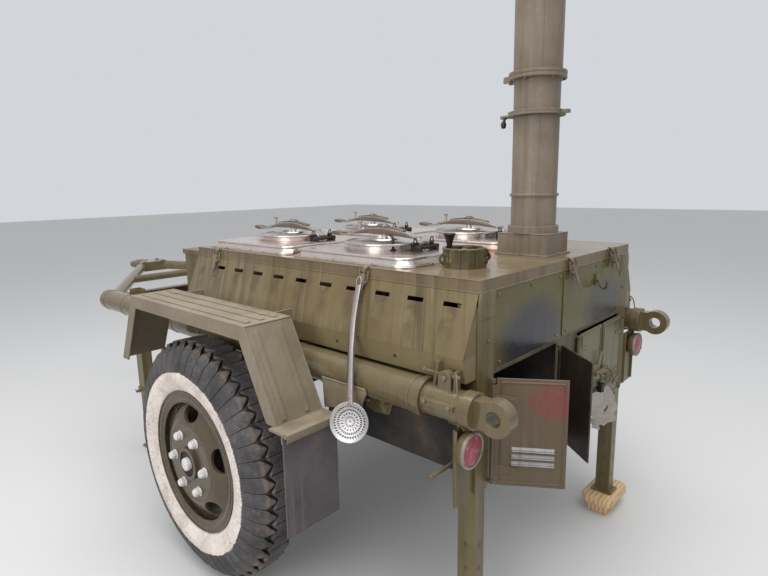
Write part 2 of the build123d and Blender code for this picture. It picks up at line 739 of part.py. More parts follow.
def slope_rib(y):
    """A pressed rib down the rear slope, from below the fold to above the foot."""
    run = GUARD_REACH - GUARD_FLAT
    length = hypot(run, GUARD_DROP)
    down = (-run / length, -GUARD_DROP / length)
    corners = []
    for along, proud in ((20, -1), (20, GUARD_RIB_PROUD), (length - 15, GUARD_RIB_PROUD), (length - 15, -1)):
        corners.append((-GUARD_FLAT + down[0] * along + down[1] * proud,
                        GUARD_TOP + down[1] * along - down[0] * proud))
    return prism_y(corners, (y - GUARD_RIB_WIDE / 2, y + GUARD_RIB_WIDE / 2))


def mudguard():
    guard = guard_solid(0, (GUARD_INNER, GUARD_OUTER))
    guard -= guard_solid(SHEET, (GUARD_INNER - 1, GUARD_OUTER - SHEET))
    guard -= guard_solid(GUARD_LIP, (GUARD_OUTER - 2 * SHEET, GUARD_OUTER + 1))
    guard &= block((-2 * GUARD_REACH, 2 * GUARD_REACH), (GUARD_INNER, GUARD_OUTER), (GUARD_FOOT, GUARD_TOP))
    for index in range(GUARD_RIBS):
        y = (GUARD_INNER + GUARD_OUTER) / 2 + (index - (GUARD_RIBS - 1) / 2) * GUARD_RIB_PITCH
        guard += block((-GUARD_FLAT + 30, GUARD_FLAT - 30), (y - GUARD_RIB_WIDE / 2, y + GUARD_RIB_WIDE / 2),
                       (GUARD_TOP - 1, GUARD_TOP + GUARD_RIB_PROUD))
    for y in SLOPE_RIBS_Y:
        rib = slope_rib(y)
        guard += rib
        guard += mirror(rib, about=Plane.YZ)
    guard += block((FLAP_X - 10, -GUARD_REACH + 12), STEP_Y, (FLAP_TOP, GUARD_FOOT + SHEET))
    guard += rod((FLAP_X - 12, STEP_Y[0], GUARD_FOOT), (FLAP_X - 12, STEP_Y[1], GUARD_FOOT), 8)
    inner = TUBE_Y + 20
    for x in (-GUARD_ARM_X, GUARD_ARM_X):
        arm = [(inner, TUBE_Z + 20), (inner, GUARD_TOP - 1), (GUARD_INNER + 60, GUARD_TOP - 1),
               (TUBE_Y + TUBE_R + 8, TUBE_Z)]
        guard += prism_x(arm, (x - PLATE / 2, x + PLATE / 2)) - tube_envelope()
    return guard


def mud_flaps():
    flap = block((FLAP_X - FLAP_THICK / 2, FLAP_X + FLAP_THICK / 2), STEP_Y, (FLAP_TOP - FLAP_HIGH, FLAP_TOP))
    return group(flap, other_side(flap))


# Body

SIDE_TOP_Y = DECK_HALF + 2
SIDE_TOP_Z = DECK_TOP - DECK_LIP - PANEL_GAP


def body_side():
    """A folded side: a slope out to a ridge, a narrow band back in, and a plate at each end."""
    top = (SIDE_TOP_Y, SIDE_TOP_Z)
    ridge = (RIDGE_Y, RIDGE_Z)
    foot = (SIDE_FOOT_Y, SIDE_FOOT_Z)
    skin = [top, ridge, foot] + [(y - SHEET, z) for y, z in (foot, ridge, top)]
    rear = BODY_REAR + SILL_THICK + PANEL_GAP
    side = prism_x(skin, (rear, BODY_FRONT))
    sleeve_y = LEG_Y + SLEEVE_WIDE / 2 + PANEL_GAP
    end = [top, ridge, foot, (sleeve_y, SIDE_FOOT_Z), (sleeve_y, REAR_SLEEVE_TOP + 10),
           (SIDE_TOP_Y - SHEET, SIDE_TOP_Z)]
    for x in (rear, BODY_FRONT - SHEET):
        side += prism_x(end, (x, x + SHEET))
    for index in range(VENT_COUNT):
        x = VENT_FIRST_X + index * VENT_PITCH
        side -= block((x - VENT_LENGTH / 2, x + VENT_LENGTH / 2), (DECK_HALF - 10, RIDGE_Y),
                      (VENT_Z - VENT_HEIGHT / 2, VENT_Z + VENT_HEIGHT / 2))
    return side


def rear_panels():
    edge = REAR_PANEL_HALF - PANEL_GAP
    x = (BODY_REAR, BODY_REAR + SHEET)
    left = block(x, (REAR_SEAM_Y + REAR_SEAM_GAP / 2, edge), (REAR_PANEL_FOOT, SIDE_TOP_Z))
    right = block(x, (-edge, REAR_SEAM_Y - REAR_SEAM_GAP / 2), (REAR_PANEL_FOOT, SIDE_TOP_Z))
    return group(left, right)


def front_wall():
    edge = DECK_HALF - PANEL_GAP
    return block((BODY_FRONT - SHEET, BODY_FRONT), (-edge, edge), (SIDE_FOOT_Z, DECK_TOP - SHEET))


def rounded_prism(x, y, corner, z):
    length = x[1] - x[0]
    width = y[1] - y[0]
    face = Pos((x[0] + x[1]) / 2, (y[0] + y[1]) / 2, z[0]) * RectangleRounded(length, width, corner)
    return extrude(face, z[1] - z[0], dir=(0, 0, 1))


def boiler(rear, front, lid_x, lid_y):
    """A pan that stands proud of the deck, a pot below it, and a neck for the lid."""
    x = (rear, front)
    y = (PAN_NEAR, PAN_FAR)
    flange = rounded_prism((rear - PAN_FLANGE, front + PAN_FLANGE), (y[0] - PAN_FLANGE, y[1] + PAN_FLANGE),
                           PAN_CORNER, (DECK_TOP, DECK_TOP + PAN_FLANGE_THICK))
    base = Pos((rear + front) / 2, (y[0] + y[1]) / 2, DECK_TOP) * RectangleRounded(front - rear, y[1] - y[0],
                                                                                    PAN_CORNER)
    pan = extrude(base, PAN_HIGH, dir=(0, 0, 1), taper=PAN_TAPER)
    pot_x = (rear + POT_INSET, front - POT_INSET)
    pot_y = (y[0] + POT_INSET, y[1] - POT_INSET)
    pot = rounded_prism(pot_x, pot_y, PAN_CORNER, (POT_FOOT, DECK_TOP + 1))
    inside = rounded_prism((pot_x[0] + POT_WALL, pot_x[1] - POT_WALL),
                           (pot_y[0] + POT_WALL, pot_y[1] - POT_WALL),
                           PAN_CORNER - POT_WALL, (POT_FOOT + POT_WALL, DECK_TOP + PAN_HIGH - POT_WALL))
    neck_top = DECK_TOP + PAN_HIGH + NECK_HIGH
    neck = rod((lid_x, lid_y, DECK_TOP + PAN_HIGH - 1), (lid_x, lid_y, neck_top), NECK_R)
    mouth = rod((lid_x, lid_y, DECK_TOP), (lid_x, lid_y, neck_top + 1), NECK_R - NECK_WALL)
    shell = flange + pan + pot + neck - inside - mouth
    lugs = lid_lugs(lid_x, lid_y)
    return shell + lugs


def lid_lugs(lid_x, lid_y):
    """Two ears on the pan, either side of the bow, which hold the hinge pin."""
    x = lid_x - HINGE_BACK
    half = HINGE_EAR / 2
    reach = BOW_WIDE / 2 + half + 2
    lugs = rod((x, lid_y - reach - half, HINGE_Z), (x, lid_y + reach + half, HINGE_Z), HINGE_PIN_R)
    for side in (-1, 1):
        y = lid_y + side * reach
        lugs += block((x - HINGE_EAR_R, x + HINGE_EAR_R), (y - half, y + half),
                      (DECK_TOP + PAN_HIGH - 2, HINGE_Z))
        lugs += rod((x, y - half, HINGE_Z), (x, y + half, HINGE_Z), HINGE_EAR_R)
    return lugs


def boiler_lid(lid_x, lid_y):
    """A domed lid under a sprung bow, which arches from the hinge to a handle."""
    z = DECK_TOP + PAN_HIGH + NECK_HIGH + LID_GAP
    rim = LID_R - LID_FLAT
    fall = LID_DOME - LID_THICK
    edge = Polyline([(rim, 0, z + LID_THICK), (LID_R, 0, z + LID_THICK), (LID_R, 0, z), (0, 0, z),
                     (0, 0, z + LID_DOME)])
    dome = ThreePointArc((0, 0, z + LID_DOME), (rim / 2, 0, z + LID_DOME - fall / 4), (rim, 0, z + LID_THICK))
    disc = Pos(lid_x, lid_y, 0) * revolve(make_face(edge.edges() + dome.edges()), axis=Axis.Z)
    hinge_x = lid_x - HINGE_BACK
    rim_x = lid_x + LID_R
    top = z + BOW_RISE
    across = (lid_y - BOW_WIDE / 2, lid_y + BOW_WIDE / 2)
    upper = [
        # where the bow's upper edge runs, from the hinge over the lid and along the handle
        (hinge_x, HINGE_Z + 12), (lid_x, top), (rim_x, HINGE_Z + 30),
        (rim_x + BOW_REACH / 2, HINGE_Z + 19), (rim_x + BOW_REACH, HINGE_Z + 24),
    ]
    bow = Pos(0, across[0], 0) * extrude(bow_side_view(upper), BOW_WIDE, dir=(0, 1, 0))
    knuckle = rod((hinge_x, across[0], HINGE_Z), (hinge_x, across[1], HINGE_Z), HINGE_PIN_R + 6)
    boss = rod((lid_x, lid_y, z + LID_DOME - SHEET), (lid_x, lid_y, top + BOW_BOSS_PROUD), BOW_BOSS_R)
    pin_x = rim_x - BOW_PIN_INSET
    pin = rod((pin_x, lid_y, HINGE_Z + 31), (pin_x, lid_y, HINGE_Z + 31 + BOW_PIN_HIGH), BOW_PIN_R)
    bore = rod((hinge_x, across[0] - 1, HINGE_Z), (hinge_x, across[1] + 1, HINGE_Z),
               HINGE_PIN_R + BEARING_GAP)
    return disc + bow + knuckle + boss + pin - bore


def bow_side_view(upper):
    """The bow seen from its side: two arcs above, the same two below, and flat ends."""
    edges = []
    for drop in (0, BOW_THICK):
        points = [(x, 0, z - drop) for x, z in upper]
        edges += ThreePointArc(*points[:3]).edges() + ThreePointArc(*points[2:]).edges()
    for x, z in (upper[0], upper[-1]):
        edges += Line((x, 0, z), (x, 0, z - BOW_THICK)).edges()
    return make_face(edges)


def deck():
    """The top plate with its folded lip, cut for the pots, the chimney and the filler."""
    x = (BODY_REAR, BODY_FRONT)
    plate = block(x, (-DECK_HALF, DECK_HALF), (DECK_TOP - DECK_LIP, DECK_TOP))
    below = (DECK_TOP - DECK_LIP - 1, DECK_TOP - SHEET)
    plate -= block((x[0] + SHEET, x[1] - SHEET), (SHEET - DECK_HALF, DECK_HALF - SHEET), below)
    plate -= block((x[1] - 2 * SHEET, x[1] + 1), (-DECK_HALF - 1, DECK_HALF + 1), below)
    through = (DECK_TOP - DECK_LIP, DECK_TOP + 1)
    inset = POT_INSET - PANEL_GAP
    for name, rear, front, lid_x, lid_y in PANS:
        hole = rounded_prism((rear + inset, front - inset), (PAN_NEAR + inset, PAN_FAR - inset), PAN_CORNER,
                             through)
        plate -= hole
        plate -= other_side(hole)
    plate -= rod((CHIMNEY_X, CHIMNEY_Y, through[0]), (CHIMNEY_X, CHIMNEY_Y, through[1]), LOWER_PIPE_R)
    return plate


# Fireboxes and their doors

def firebox():
    """A box of plate, open to the rear, with a grate of bars inside."""
    x = (BODY_REAR + FIREBOX_BACK, FIREBOX_FRONT)
    y = (FIREBOX_NEAR, FIREBOX_FAR)
    z = (FIREBOX_FOOT, FIREBOX_TOP)
    wall = FIREBOX_WALL
    shell = block(x, y, z)
    shell -= block((x[0] - 1, x[1] - wall), (y[0] + wall, y[1] - wall), (z[0] + wall, z[1] - wall))
    pitch = (y[1] - y[0]) / GRATE_BARS
    half = GRATE_BAR_WIDE / 2
    grate_x = x[0] + 60
    for index in range(GRATE_BARS):
        bar_y = y[0] + pitch * (index + 0.5)
        shell += block((grate_x, x[1] - 1), (bar_y - half, bar_y + half), (GRATE_Z - GRATE_BAR_HIGH, GRATE_Z))
    shell += block((grate_x, grate_x + GRATE_BAR_WIDE), (y[0] + 1, y[1] - 1),
                   (GRATE_Z - GRATE_BAR_HIGH - 2, GRATE_Z - 2))
    return shell


DOORS = (
    # name, hinge y, which way the closed leaf runs from its hinge, how far it stands open
    ("door_left_outer", DOOR_OUTER_Y, -1, DOOR_OPEN_OUTER),
    ("door_left_inner", DOOR_INNER_Y, 1, DOOR_OPEN_INNER),
    ("door_right_inner", -DOOR_INNER_Y, -1, 0),
    ("door_right_outer", -DOOR_OUTER_Y, 1, 0),
)


def hinge_rod(hinge_y, foot, top, radius):
    return rod((DOOR_HINGE_X, hinge_y, foot), (DOOR_HINGE_X, hinge_y, top), radius)


def door(hinge_y, way, opening):
    """A firebox door leaf with three pressed louvres, hung on a rolled hinge barrel."""
    closed_x = (DOOR_HINGE_X - DOOR_THICK / 2, DOOR_HINGE_X + DOOR_THICK / 2)
    near = hinge_y
    far = hinge_y + way * DOOR_WIDE
    leaf = block(closed_x, (min(near, far), max(near, far)), (DOOR_FOOT, DOOR_TOP))
    notch = 2 * DOOR_EAR
    leaf += hinge_rod(hinge_y, DOOR_FOOT + notch, DOOR_TOP - notch, DOOR_BARREL_R)
    middle = hinge_y + way * DOOR_WIDE * 0.55
    for row in range(LOUVRES):
        z = DOOR_FOOT + 70 + row * LOUVRE_PITCH
        louvre = [(DOOR_HINGE_X, z), (DOOR_HINGE_X - LOUVRE_PROUD, z), (DOOR_HINGE_X, z + LOUVRE_HIGH)]
        leaf += prism_y(louvre, (middle - LOUVRE_LONG / 2, middle + LOUVRE_LONG / 2))
    leaf -= hinge_rod(hinge_y, DOOR_FOOT - 1, DOOR_TOP + 1, DOOR_PIN_R + BEARING_GAP)
    leaf -= hinge_rod(hinge_y, DOOR_FOOT - 1, DOOR_FOOT + notch, DOOR_BARREL_R + 2)
    leaf -= hinge_rod(hinge_y, DOOR_TOP - notch, DOOR_TOP + 1, DOOR_BARREL_R + 2)
    turn = way * opening
    return Pos(DOOR_HINGE_X, hinge_y, 0) * Rot(0, 0, turn) * Pos(-DOOR_HINGE_X, -hinge_y, 0) * leaf


def door_pins():
    """The fixed pins, each carried by two ears from the firebox's edge."""
    parts = []
    for name, hinge_y, way, opening in DOORS:
        pin = hinge_rod(hinge_y, DOOR_FOOT + 4, DOOR_TOP - 4, DOOR_PIN_R)
        for z in (DOOR_FOOT + 4, DOOR_TOP - 4 - DOOR_EAR):
            pin += block((DOOR_HINGE_X, BODY_REAR), (hinge_y - 4, hinge_y + 4), (z, z + DOOR_EAR))
            pin += hinge_rod(hinge_y, z, z + DOOR_EAR, DOOR_BARREL_R)
        parts.append(pin)
    return group(*parts)


def front_stove():
    """A casing of plate round the front fires, closed from above by the pots."""
    x = (STOVE_REAR, STOVE_FRONT)
    y = (-STOVE_HALF, STOVE_HALF)
    wall = FIREBOX_WALL
    casing = block(x, y, (STOVE_FOOT, SIDE_FOOT_Z))
    return casing - block((x[0] + wall, x[1] - wall), (y[0] + wall, y[1] - wall),
                          (STOVE_FOOT + wall, SIDE_FOOT_Z + 1))


# Front stowage box: a floor with plates standing on it, under a lid with folded edges

BOX_REAR = BODY_FRONT + PANEL_GAP


def front_box():
    return block((BOX_REAR, BOX_FRONT), (-BOX_HALF, BOX_HALF), (BOX_FOOT, BOX_FOOT + SHEET))


def front_box_walls():
    """The front and rear plates, as long as the floor is wide."""
    across = (-BOX_HALF, BOX_HALF)
    high = (BOX_FOOT + SHEET, BOX_TOP)
    rear = block((BOX_REAR, BOX_REAR + SHEET), across, high)
    front = block((BOX_FRONT - SHEET, BOX_FRONT), across, high)
    return group(rear, front)


def front_box_ends():
    """The two end plates, between the front and rear ones."""
    end = block((BOX_REAR + SHEET, BOX_FRONT - SHEET), (BOX_HALF - SHEET, BOX_HALF),
                (BOX_FOOT + SHEET, BOX_TOP))
    return group(end, other_side(end))


BOX_LID_FOOT = BOX_TOP + 2
BOX_LID_X = (BODY_FRONT + 2 * BOX_BARREL_R, BOX_FRONT + BOX_LID_OVERHANG)
BOX_LID_HALF = BOX_HALF + BOX_LID_OVERHANG


def front_box_lid():
    lid = block(BOX_LID_X, (-BOX_LID_HALF, BOX_LID_HALF), (BOX_LID_FOOT, BOX_LID_FOOT + SHEET))
    reach = BOX_LID_HALF - BOX_BARREL_INSET
    barrel_z = BOX_LID_FOOT + 4
    return lid + rod((BOX_LID_X[0], -reach, barrel_z), (BOX_LID_X[0], reach, barrel_z), BOX_BARREL_R)


def front_box_lid_rim():
    """The lid's folded edges, on three sides, with open corners."""
    high = (BOX_LID_FOOT - BOX_LID_RIM, BOX_LID_FOOT)
    inner = BOX_LID_HALF - SHEET
    front = block((BOX_LID_X[1] - SHEET, BOX_LID_X[1]), (-inner + PANEL_GAP, inner - PANEL_GAP), high)
    side = block((BOX_LID_X[0], BOX_LID_X[1]), (inner, BOX_LID_HALF), high)
    return group(front, side, other_side(side))


# Chimney

def pipe(x, y, foot, top, radius):
    return rod((x, y, foot), (x, y, top), radius) - rod((x, y, foot - 1), (x, y, top + 1), radius - PIPE_WALL)


def disc_ring(foot, thick, outer, inner):
    centre = (CHIMNEY_X, CHIMNEY_Y)
    hole = rod((*centre, foot - 1), (*centre, foot + thick + 1), inner)
    return rod((*centre, foot), (*centre, foot + thick), outer) - hole


def chimney_base():
    half_long = CHIMNEY_BASE_LONG / 2
    half_wide = CHIMNEY_BASE_WIDE / 2
    edge = CHIMNEY_BASE_FLANGE
    x = (CHIMNEY_X - half_long, CHIMNEY_X + half_long)
    y = (CHIMNEY_Y - half_wide, CHIMNEY_Y + half_wide)
    base = block((x[0] - edge, x[1] + edge), (y[0] - edge, y[1] + edge),
                 (DECK_TOP, DECK_TOP + PAN_FLANGE_THICK))
    base += block(x, y, (DECK_TOP, CHIMNEY_BASE_TOP))
    collar_top = CHIMNEY_BASE_TOP + COLLAR_HIGH
    base += disc_ring(CHIMNEY_BASE_TOP - 1, COLLAR_HIGH + 1, LOWER_PIPE_R + COLLAR_WALL, LOWER_PIPE_R)
    base -= rod((CHIMNEY_X, CHIMNEY_Y, DECK_TOP - 1), (CHIMNEY_X, CHIMNEY_Y, collar_top + 1), LOWER_PIPE_R)
    return base


def chimney_lower():
    """The fixed pipe, with a bead, the damper section and the lower half of the hinge."""
    centre = (CHIMNEY_X, CHIMNEY_Y)
    stack = pipe(*centre, DECK_TOP, DAMPER_TOP, LOWER_PIPE_R)
    bore = LOWER_PIPE_R - PIPE_WALL / 2
    stack += disc_ring(BEAD_Z, BEAD_HIGH, LOWER_PIPE_R + BEAD_PROUD, bore)
    stack += disc_ring(DAMPER_FOOT - FLANGE_THICK / 2, FLANGE_THICK, FLANGE_R, bore)
    stack += disc_ring(DAMPER_TOP - FLANGE_THICK, FLANGE_THICK, FLANGE_R, bore)
    front = CHIMNEY_X + FLANGE_R
    back = CHIMNEY_X - FLANGE_R
    stack += rod((front - 8, CHIMNEY_Y, DAMPER_FOOT), (front + 45, CHIMNEY_Y, DAMPER_FOOT), 7)
    stack += block((back - 22, back + 8), (CHIMNEY_Y - 12, CHIMNEY_Y + 12),
                   (DAMPER_FOOT - FLANGE_THICK / 2, DAMPER_FOOT + FLANGE_THICK / 2))
    half = STACK_EAR_THICK / 2
    for side in (-1, 1):
        y = CHIMNEY_Y + side * STACK_EAR_Y
        stack += block((front - 10, STACK_HINGE_X + STACK_EAR_R), (y - half, y + half),
                       (DAMPER_TOP - FLANGE_THICK, STACK_HINGE_Z))
        stack += stack_hinge_rod(y - half, y + half, STACK_EAR_R)
    reach = STACK_EAR_Y + half
    stack += stack_hinge_rod(CHIMNEY_Y - reach, CHIMNEY_Y + reach, STACK_PIN_R)
    return stack


def stack_hinge_rod(start_y, end_y, radius):
    return rod((STACK_HINGE_X, start_y, STACK_HINGE_Z), (STACK_HINGE_X, end_y, STACK_HINGE_Z), radius)


def chimney_upper():
    """The pipe that folds forward for towing, with its flange, rim and hinge knuckle."""
    centre = (CHIMNEY_X, CHIMNEY_Y)
    foot = DAMPER_TOP + PANEL_GAP
    stack = pipe(*centre, foot, CHIMNEY_TOP, UPPER_PIPE_R)
    bore = UPPER_PIPE_R - PIPE_WALL / 2
    stack += disc_ring(foot, FLANGE_THICK, FLANGE_R, bore)
    stack += disc_ring(CHIMNEY_TOP - RIM_BAND_HIGH, RIM_BAND_HIGH, UPPER_PIPE_R + RIM_BAND_PROUD, bore)
    knuckle = STACK_EAR_Y - STACK_EAR_THICK / 2 - 2
    across = (CHIMNEY_Y - knuckle, CHIMNEY_Y + knuckle)
    stack += block((CHIMNEY_X + FLANGE_R - 10, STACK_HINGE_X), across, (foot, foot + FLANGE_THICK))
    stack += stack_hinge_rod(*across, STACK_EAR_R)
    stack -= stack_hinge_rod(across[0] - 1, across[1] + 1, STACK_PIN_R + BEARING_GAP)
    return stack


# Small fittings

def filler():
    """An eight-sided cup with a cover plate let into its top and a handle on its side."""
    radius = FILLER_FLATS / 2
    across = RegularPolygon(radius, 8, major_radius=False)
    inner = RegularPolygon(radius - FILLER_WALL, 8, major_radius=False)
    top = DECK_TOP + FILLER_HIGH
    cup = Pos(FILLER_X, FILLER_Y, DECK_TOP) * extrude(across, FILLER_HIGH, dir=(0, 0, 1))
    cup -= Pos(FILLER_X, FILLER_Y, top - FILLER_RECESS) * extrude(inner, FILLER_HIGH, dir=(0, 0, 1))
    cup += rod((FILLER_X, FILLER_Y, top - FILLER_RECESS - 1), (FILLER_X, FILLER_Y, top), FILLER_KNOB_R)
    reach = (radius - 1) * cos(pi / 4)
    middle = (FILLER_X + reach, FILLER_Y + reach, DECK_TOP + FILLER_HIGH / 2 - 4)
    handle = Plane(origin=middle, z_dir=(1, -1, 0))
    return cup + handle.location * Torus(FILLER_RING_MEAN_R, FILLER_RING_R)


def latches():
    """Toggle latches that hold the deck's lip down to the sides and rear panels."""
    parts = []
    for x in SIDE_LATCHES_X:
        latch = Pos(x, DECK_HALF, DECK_TOP) * toggle(LATCH_DROP) - body_side()
        parts += [latch, other_side(latch)]
    for y in REAR_LATCHES_Y:
        parts.append(Pos(BODY_REAR, y, DECK_TOP) * Rot(0, 0, 90) * toggle(REAR_LATCH_DROP))
    return group(*parts)


def toggle(drop):
    """A tapered toggle on a wall that faces +Y, below the deck's edge, with its cross pin."""
    half = LATCH_WIDE / 2
    front = [(-half, -LATCH_RISE), (half, -LATCH_RISE), (half * 0.6, -drop), (-half * 0.6, -drop)]
    side = [(0, -LATCH_RISE), (LATCH_DEEP / 2, -LATCH_RISE), (LATCH_DEEP, -LATCH_RISE - 14),
            (LATCH_DEEP, 12 - drop), (LATCH_DEEP / 3, -drop), (0, -drop)]
    body = prism_y(front, (0, LATCH_DEEP)) & prism_x(side, (-half, half))
    pin_z = -LATCH_RISE - 18
    return body + rod((-half - 4, LATCH_DEEP - 3, pin_z), (half + 4, LATCH_DEEP - 3, pin_z), 4)


def lamp_housings():
    """A bowl with a rounded back and a raised rim round the lens."""
    straight = LAMP_DEEP - LAMP_BACK_DEEP
    lens_face = LAMP_RIM - LAMP_DEEP
    edge = Polyline([(-LAMP_BACK_DEEP, LAMP_R, 0), (-LAMP_BACK_DEEP - straight, LAMP_R, 0),
                     (-LAMP_DEEP, LENS_R + 1, 0), (lens_face, LENS_R + 1, 0), (lens_face, 0, 0), (0, 0, 0),
                     (0, LAMP_BACK_R, 0)])
    back = ThreePointArc((0, LAMP_BACK_R, 0), (-LAMP_BACK_DEEP * 0.35, LAMP_R - 7, 0),
                         (-LAMP_BACK_DEEP, LAMP_R, 0))
    cup = Pos(BODY_REAR, LAMP_Y, LAMP_Z) * revolve(make_face(edge.edges() + back.edges()), axis=Axis.X)
    return group(cup, other_side(cup))


def lamp_lenses():
    """A domed lens inside the housing's rim."""
    edge = Polyline([(-LAMP_RIM, LENS_R, 0), (0, LENS_R, 0), (0, 0, 0), (-LENS_DOME, 0, 0)])
    dome = ThreePointArc((-LENS_DOME, 0, 0), (-LENS_DOME * 0.82, LENS_R / 2, 0), (-LAMP_RIM, LENS_R, 0))
    lens = revolve(make_face(edge.edges() + dome.edges()), axis=Axis.X)
    lens = Pos(BODY_REAR - LAMP_DEEP + LAMP_RIM, LAMP_Y, LAMP_Z) * lens
    return group(lens, other_side(lens))


def skimmer():
    """A long-handled skimmer that hangs from the side latch and leans on the ridge and tube."""
    top = Vector(SIDE_LATCHES_X[0] + 2, DECK_HALF + 32, DECK_TOP - 55)
    foot = Vector(top.X - 99, TUBE_Y + TUBE_R + 47, TUBE_Z - 53)
    way = foot - top
    handle = Box(SKIMMER_HANDLE_WIDE, SKIMMER_HANDLE_THICK, way.length)
    handle = Plane(origin=top, z_dir=way, x_dir=(1, 0.2, 0)).location * Pos(0, 0, way.length / 2) * handle
    middle = foot + Vector(-8, 12, -52)
    dish = Sphere(SKIMMER_DISH_R) - Sphere(SKIMMER_DISH_R - SKIMMER_THICK)
    depth = (SKIMMER_DISH_R**2 - SKIMMER_R**2) ** 0.5
    dish &= Pos(0, 0, -depth - SKIMMER_R / 2) * Cylinder(SKIMMER_R, SKIMMER_R)
    facing = Plane(origin=middle, z_dir=(-0.45, 0.85, 0.28)).location
    return handle + facing * Pos(0, 0, depth + SKIMMER_THICK / 2) * dish


def ground_block():
    """Two pine offcuts, one across the other, under the rear right leg."""
    x = REAR_LEG_X
    y = -LEG_Y
    low = block((x - 45, x + 45), (y - 70, y + 70), (0, BLOCK_LOW))
    high = block((x - 70, x + 70), (y - 120, y + 100), (BLOCK_LOW, BLOCK_TOP))
    return low + high


# Legs

LEG_LONG = SLEEVE_LONG - 2 * SLEEVE_WALL - 2 * SEAT_GAP
LEG_WIDE = SLEEVE_WIDE - 2 * SLEEVE_WALL - 2 * SEAT_GAP


def leg(x, foot, top, side):
    """A square tube with a foot plate."""
    y = side * LEG_Y
    stem = block((x - LEG_LONG / 2, x + LEG_LONG / 2), (y - LEG_WIDE / 2, y + LEG_WIDE / 2), (foot, top))
    stem -= block((x - LEG_LONG / 2 + LEG_WALL, x + LEG_LONG / 2 - LEG_WALL),
                  (y - LEG_WIDE / 2 + LEG_WALL, y + LEG_WIDE / 2 - LEG_WALL), (foot + FOOT_THICK, top + 1))
    plate = block((x - FOOT_LONG / 2, x + FOOT_LONG / 2), (y - FOOT_WIDE / 2, y + FOOT_WIDE / 2),
                  (foot, foot + FOOT_THICK))
    return stem + plate


LEGS = (
    # name, x, side, height of the foot, top of the leg
    ("leg_rear_left", REAR_LEG_X, 1, 0, REAR_LEG_TOP),
    ("leg_rear_right", REAR_LEG_X, -1, BLOCK_TOP, REAR_LEG_TOP),
    ("leg_front_left", FRONT_LEG_X, 1, 0, FRONT_LEG_TOP),
    ("leg_front_right", FRONT_LEG_X, -1, 0, FRONT_LEG_TOP),
)


def build():
    pair("side_tube", side_tube())
    pieces["rear_eyes"] = group(rear_eye(), other_side(rear_eye()))
    pieces["cross_members"] = cross_members()
    pieces["leg_posts"] = leg_posts()
    pieces["drawbar"] = drawbar()
    pieces["tow_ring"] = tow_ring()
    pieces["torsion_beam"] = torsion_beam()
    pair("swing_arm", swing_arm())
    pair("hub", hub())
    pair("wheel_rim", wheel_rim())
    pair("tyre", tyre())
    pair("mudguard", mudguard())
    pieces["mud_flaps"] = mud_flaps()
    pair("body_side", body_side())
    pieces["rear_panels"] = rear_panels()
    pieces["front_wall"] = front_wall()
    pieces["deck"] = deck()
    for name, rear, front, lid_x, lid_y in PANS:
        pair("boiler_" + name, boiler(rear, front, lid_x, lid_y))
        pair("lid_" + name, boiler_lid(lid_x, lid_y))
    left_firebox = firebox()
    pair("firebox", left_firebox)
    for name, hinge_y, way, opening in DOORS:
        pieces[name] = door(hinge_y, way, opening)
    pieces["door_pins"] = door_pins()
    pieces["front_stove"] = front_stove()
    pieces["front_box"] = front_box()
    pieces["front_box_walls"] = front_box_walls()
    pieces["front_box_ends"] = front_box_ends()
    pieces["front_box_lid"] = front_box_lid()
    pieces["front_box_lid_rim"] = front_box_lid_rim()
    pieces["chimney_base"] = chimney_base()
    pieces["chimney_lower"] = chimney_lower()
    pieces["chimney_upper"] = chimney_upper()
    pieces["filler"] = filler()
    pieces["latches"] = latches()
    pieces["lamp_housings"] = lamp_housings()
    pieces["lamp_lenses"] = lamp_lenses()
    pieces["skimmer"] = skimmer()
    pieces["ground_block"] = ground_block()
    for name, x, side, foot, top in LEGS:
        pieces[name] = leg(x, foot, top, side)


build()
os.makedirs("parts", exist_ok=True)
for node, shape in pieces.items():
    export_step(Pos(SHIFT, 0, 0) * shape, "parts/" + node + ".step")
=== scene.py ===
from math import atan2, cos, degrees, pi, radians, sin, sqrt

import bpy
from mathutils import Matrix, Vector


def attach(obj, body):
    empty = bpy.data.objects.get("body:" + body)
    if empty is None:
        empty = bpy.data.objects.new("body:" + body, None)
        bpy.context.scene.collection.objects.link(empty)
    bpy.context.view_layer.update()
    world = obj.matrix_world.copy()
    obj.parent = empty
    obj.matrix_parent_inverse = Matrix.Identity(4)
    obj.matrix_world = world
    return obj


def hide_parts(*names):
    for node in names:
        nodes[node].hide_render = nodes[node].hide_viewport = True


# A field kitchen trailer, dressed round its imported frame.
# Metres. X points in the towing direction, Y to the left, Z up from the ground.

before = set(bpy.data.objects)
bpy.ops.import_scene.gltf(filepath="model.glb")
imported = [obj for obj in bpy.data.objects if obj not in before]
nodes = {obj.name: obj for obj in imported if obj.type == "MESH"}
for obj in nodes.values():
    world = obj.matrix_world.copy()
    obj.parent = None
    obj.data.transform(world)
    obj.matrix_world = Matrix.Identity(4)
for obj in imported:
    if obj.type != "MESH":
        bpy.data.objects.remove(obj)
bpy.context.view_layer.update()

# The mudguards' middle: places along X are given from here.
GUARD_X = -0.66358

# The photograph's viewing place, as fitted to the wheel and the body.
CAMERA_PLACE = (GUARD_X - 1.8370, 1.8607, 1.4992)
CAMERA_HEADING = -47.3625
CAMERA_DIP = 10.5799
CAMERA_ROLL = -0.98558
CAMERA_LENS = 25.79

# Sizes that pieces of the scene share with the frame
DECK_TOP = 1.235
DECK_HALF = 0.578
SKIRT_FOOT = 1.1985
REAR_WALL = -1.020
FRONT_WALL = 0.500
BODY_REAR = GUARD_X + REAR_WALL
TUBE_Y = 0.660
TUBE_Z = 0.891
TUBE_FRONT = 1.385
AXLE_X = GUARD_X + 0.034
AXLE_Z = 0.470
WHEEL_Y = 0.842
REAR_LEG_X = -0.985
FRONT_LEG_X = 1.250
LEG_Y = 0.558
GUARD_OUTER = 0.945


# Modelling helpers

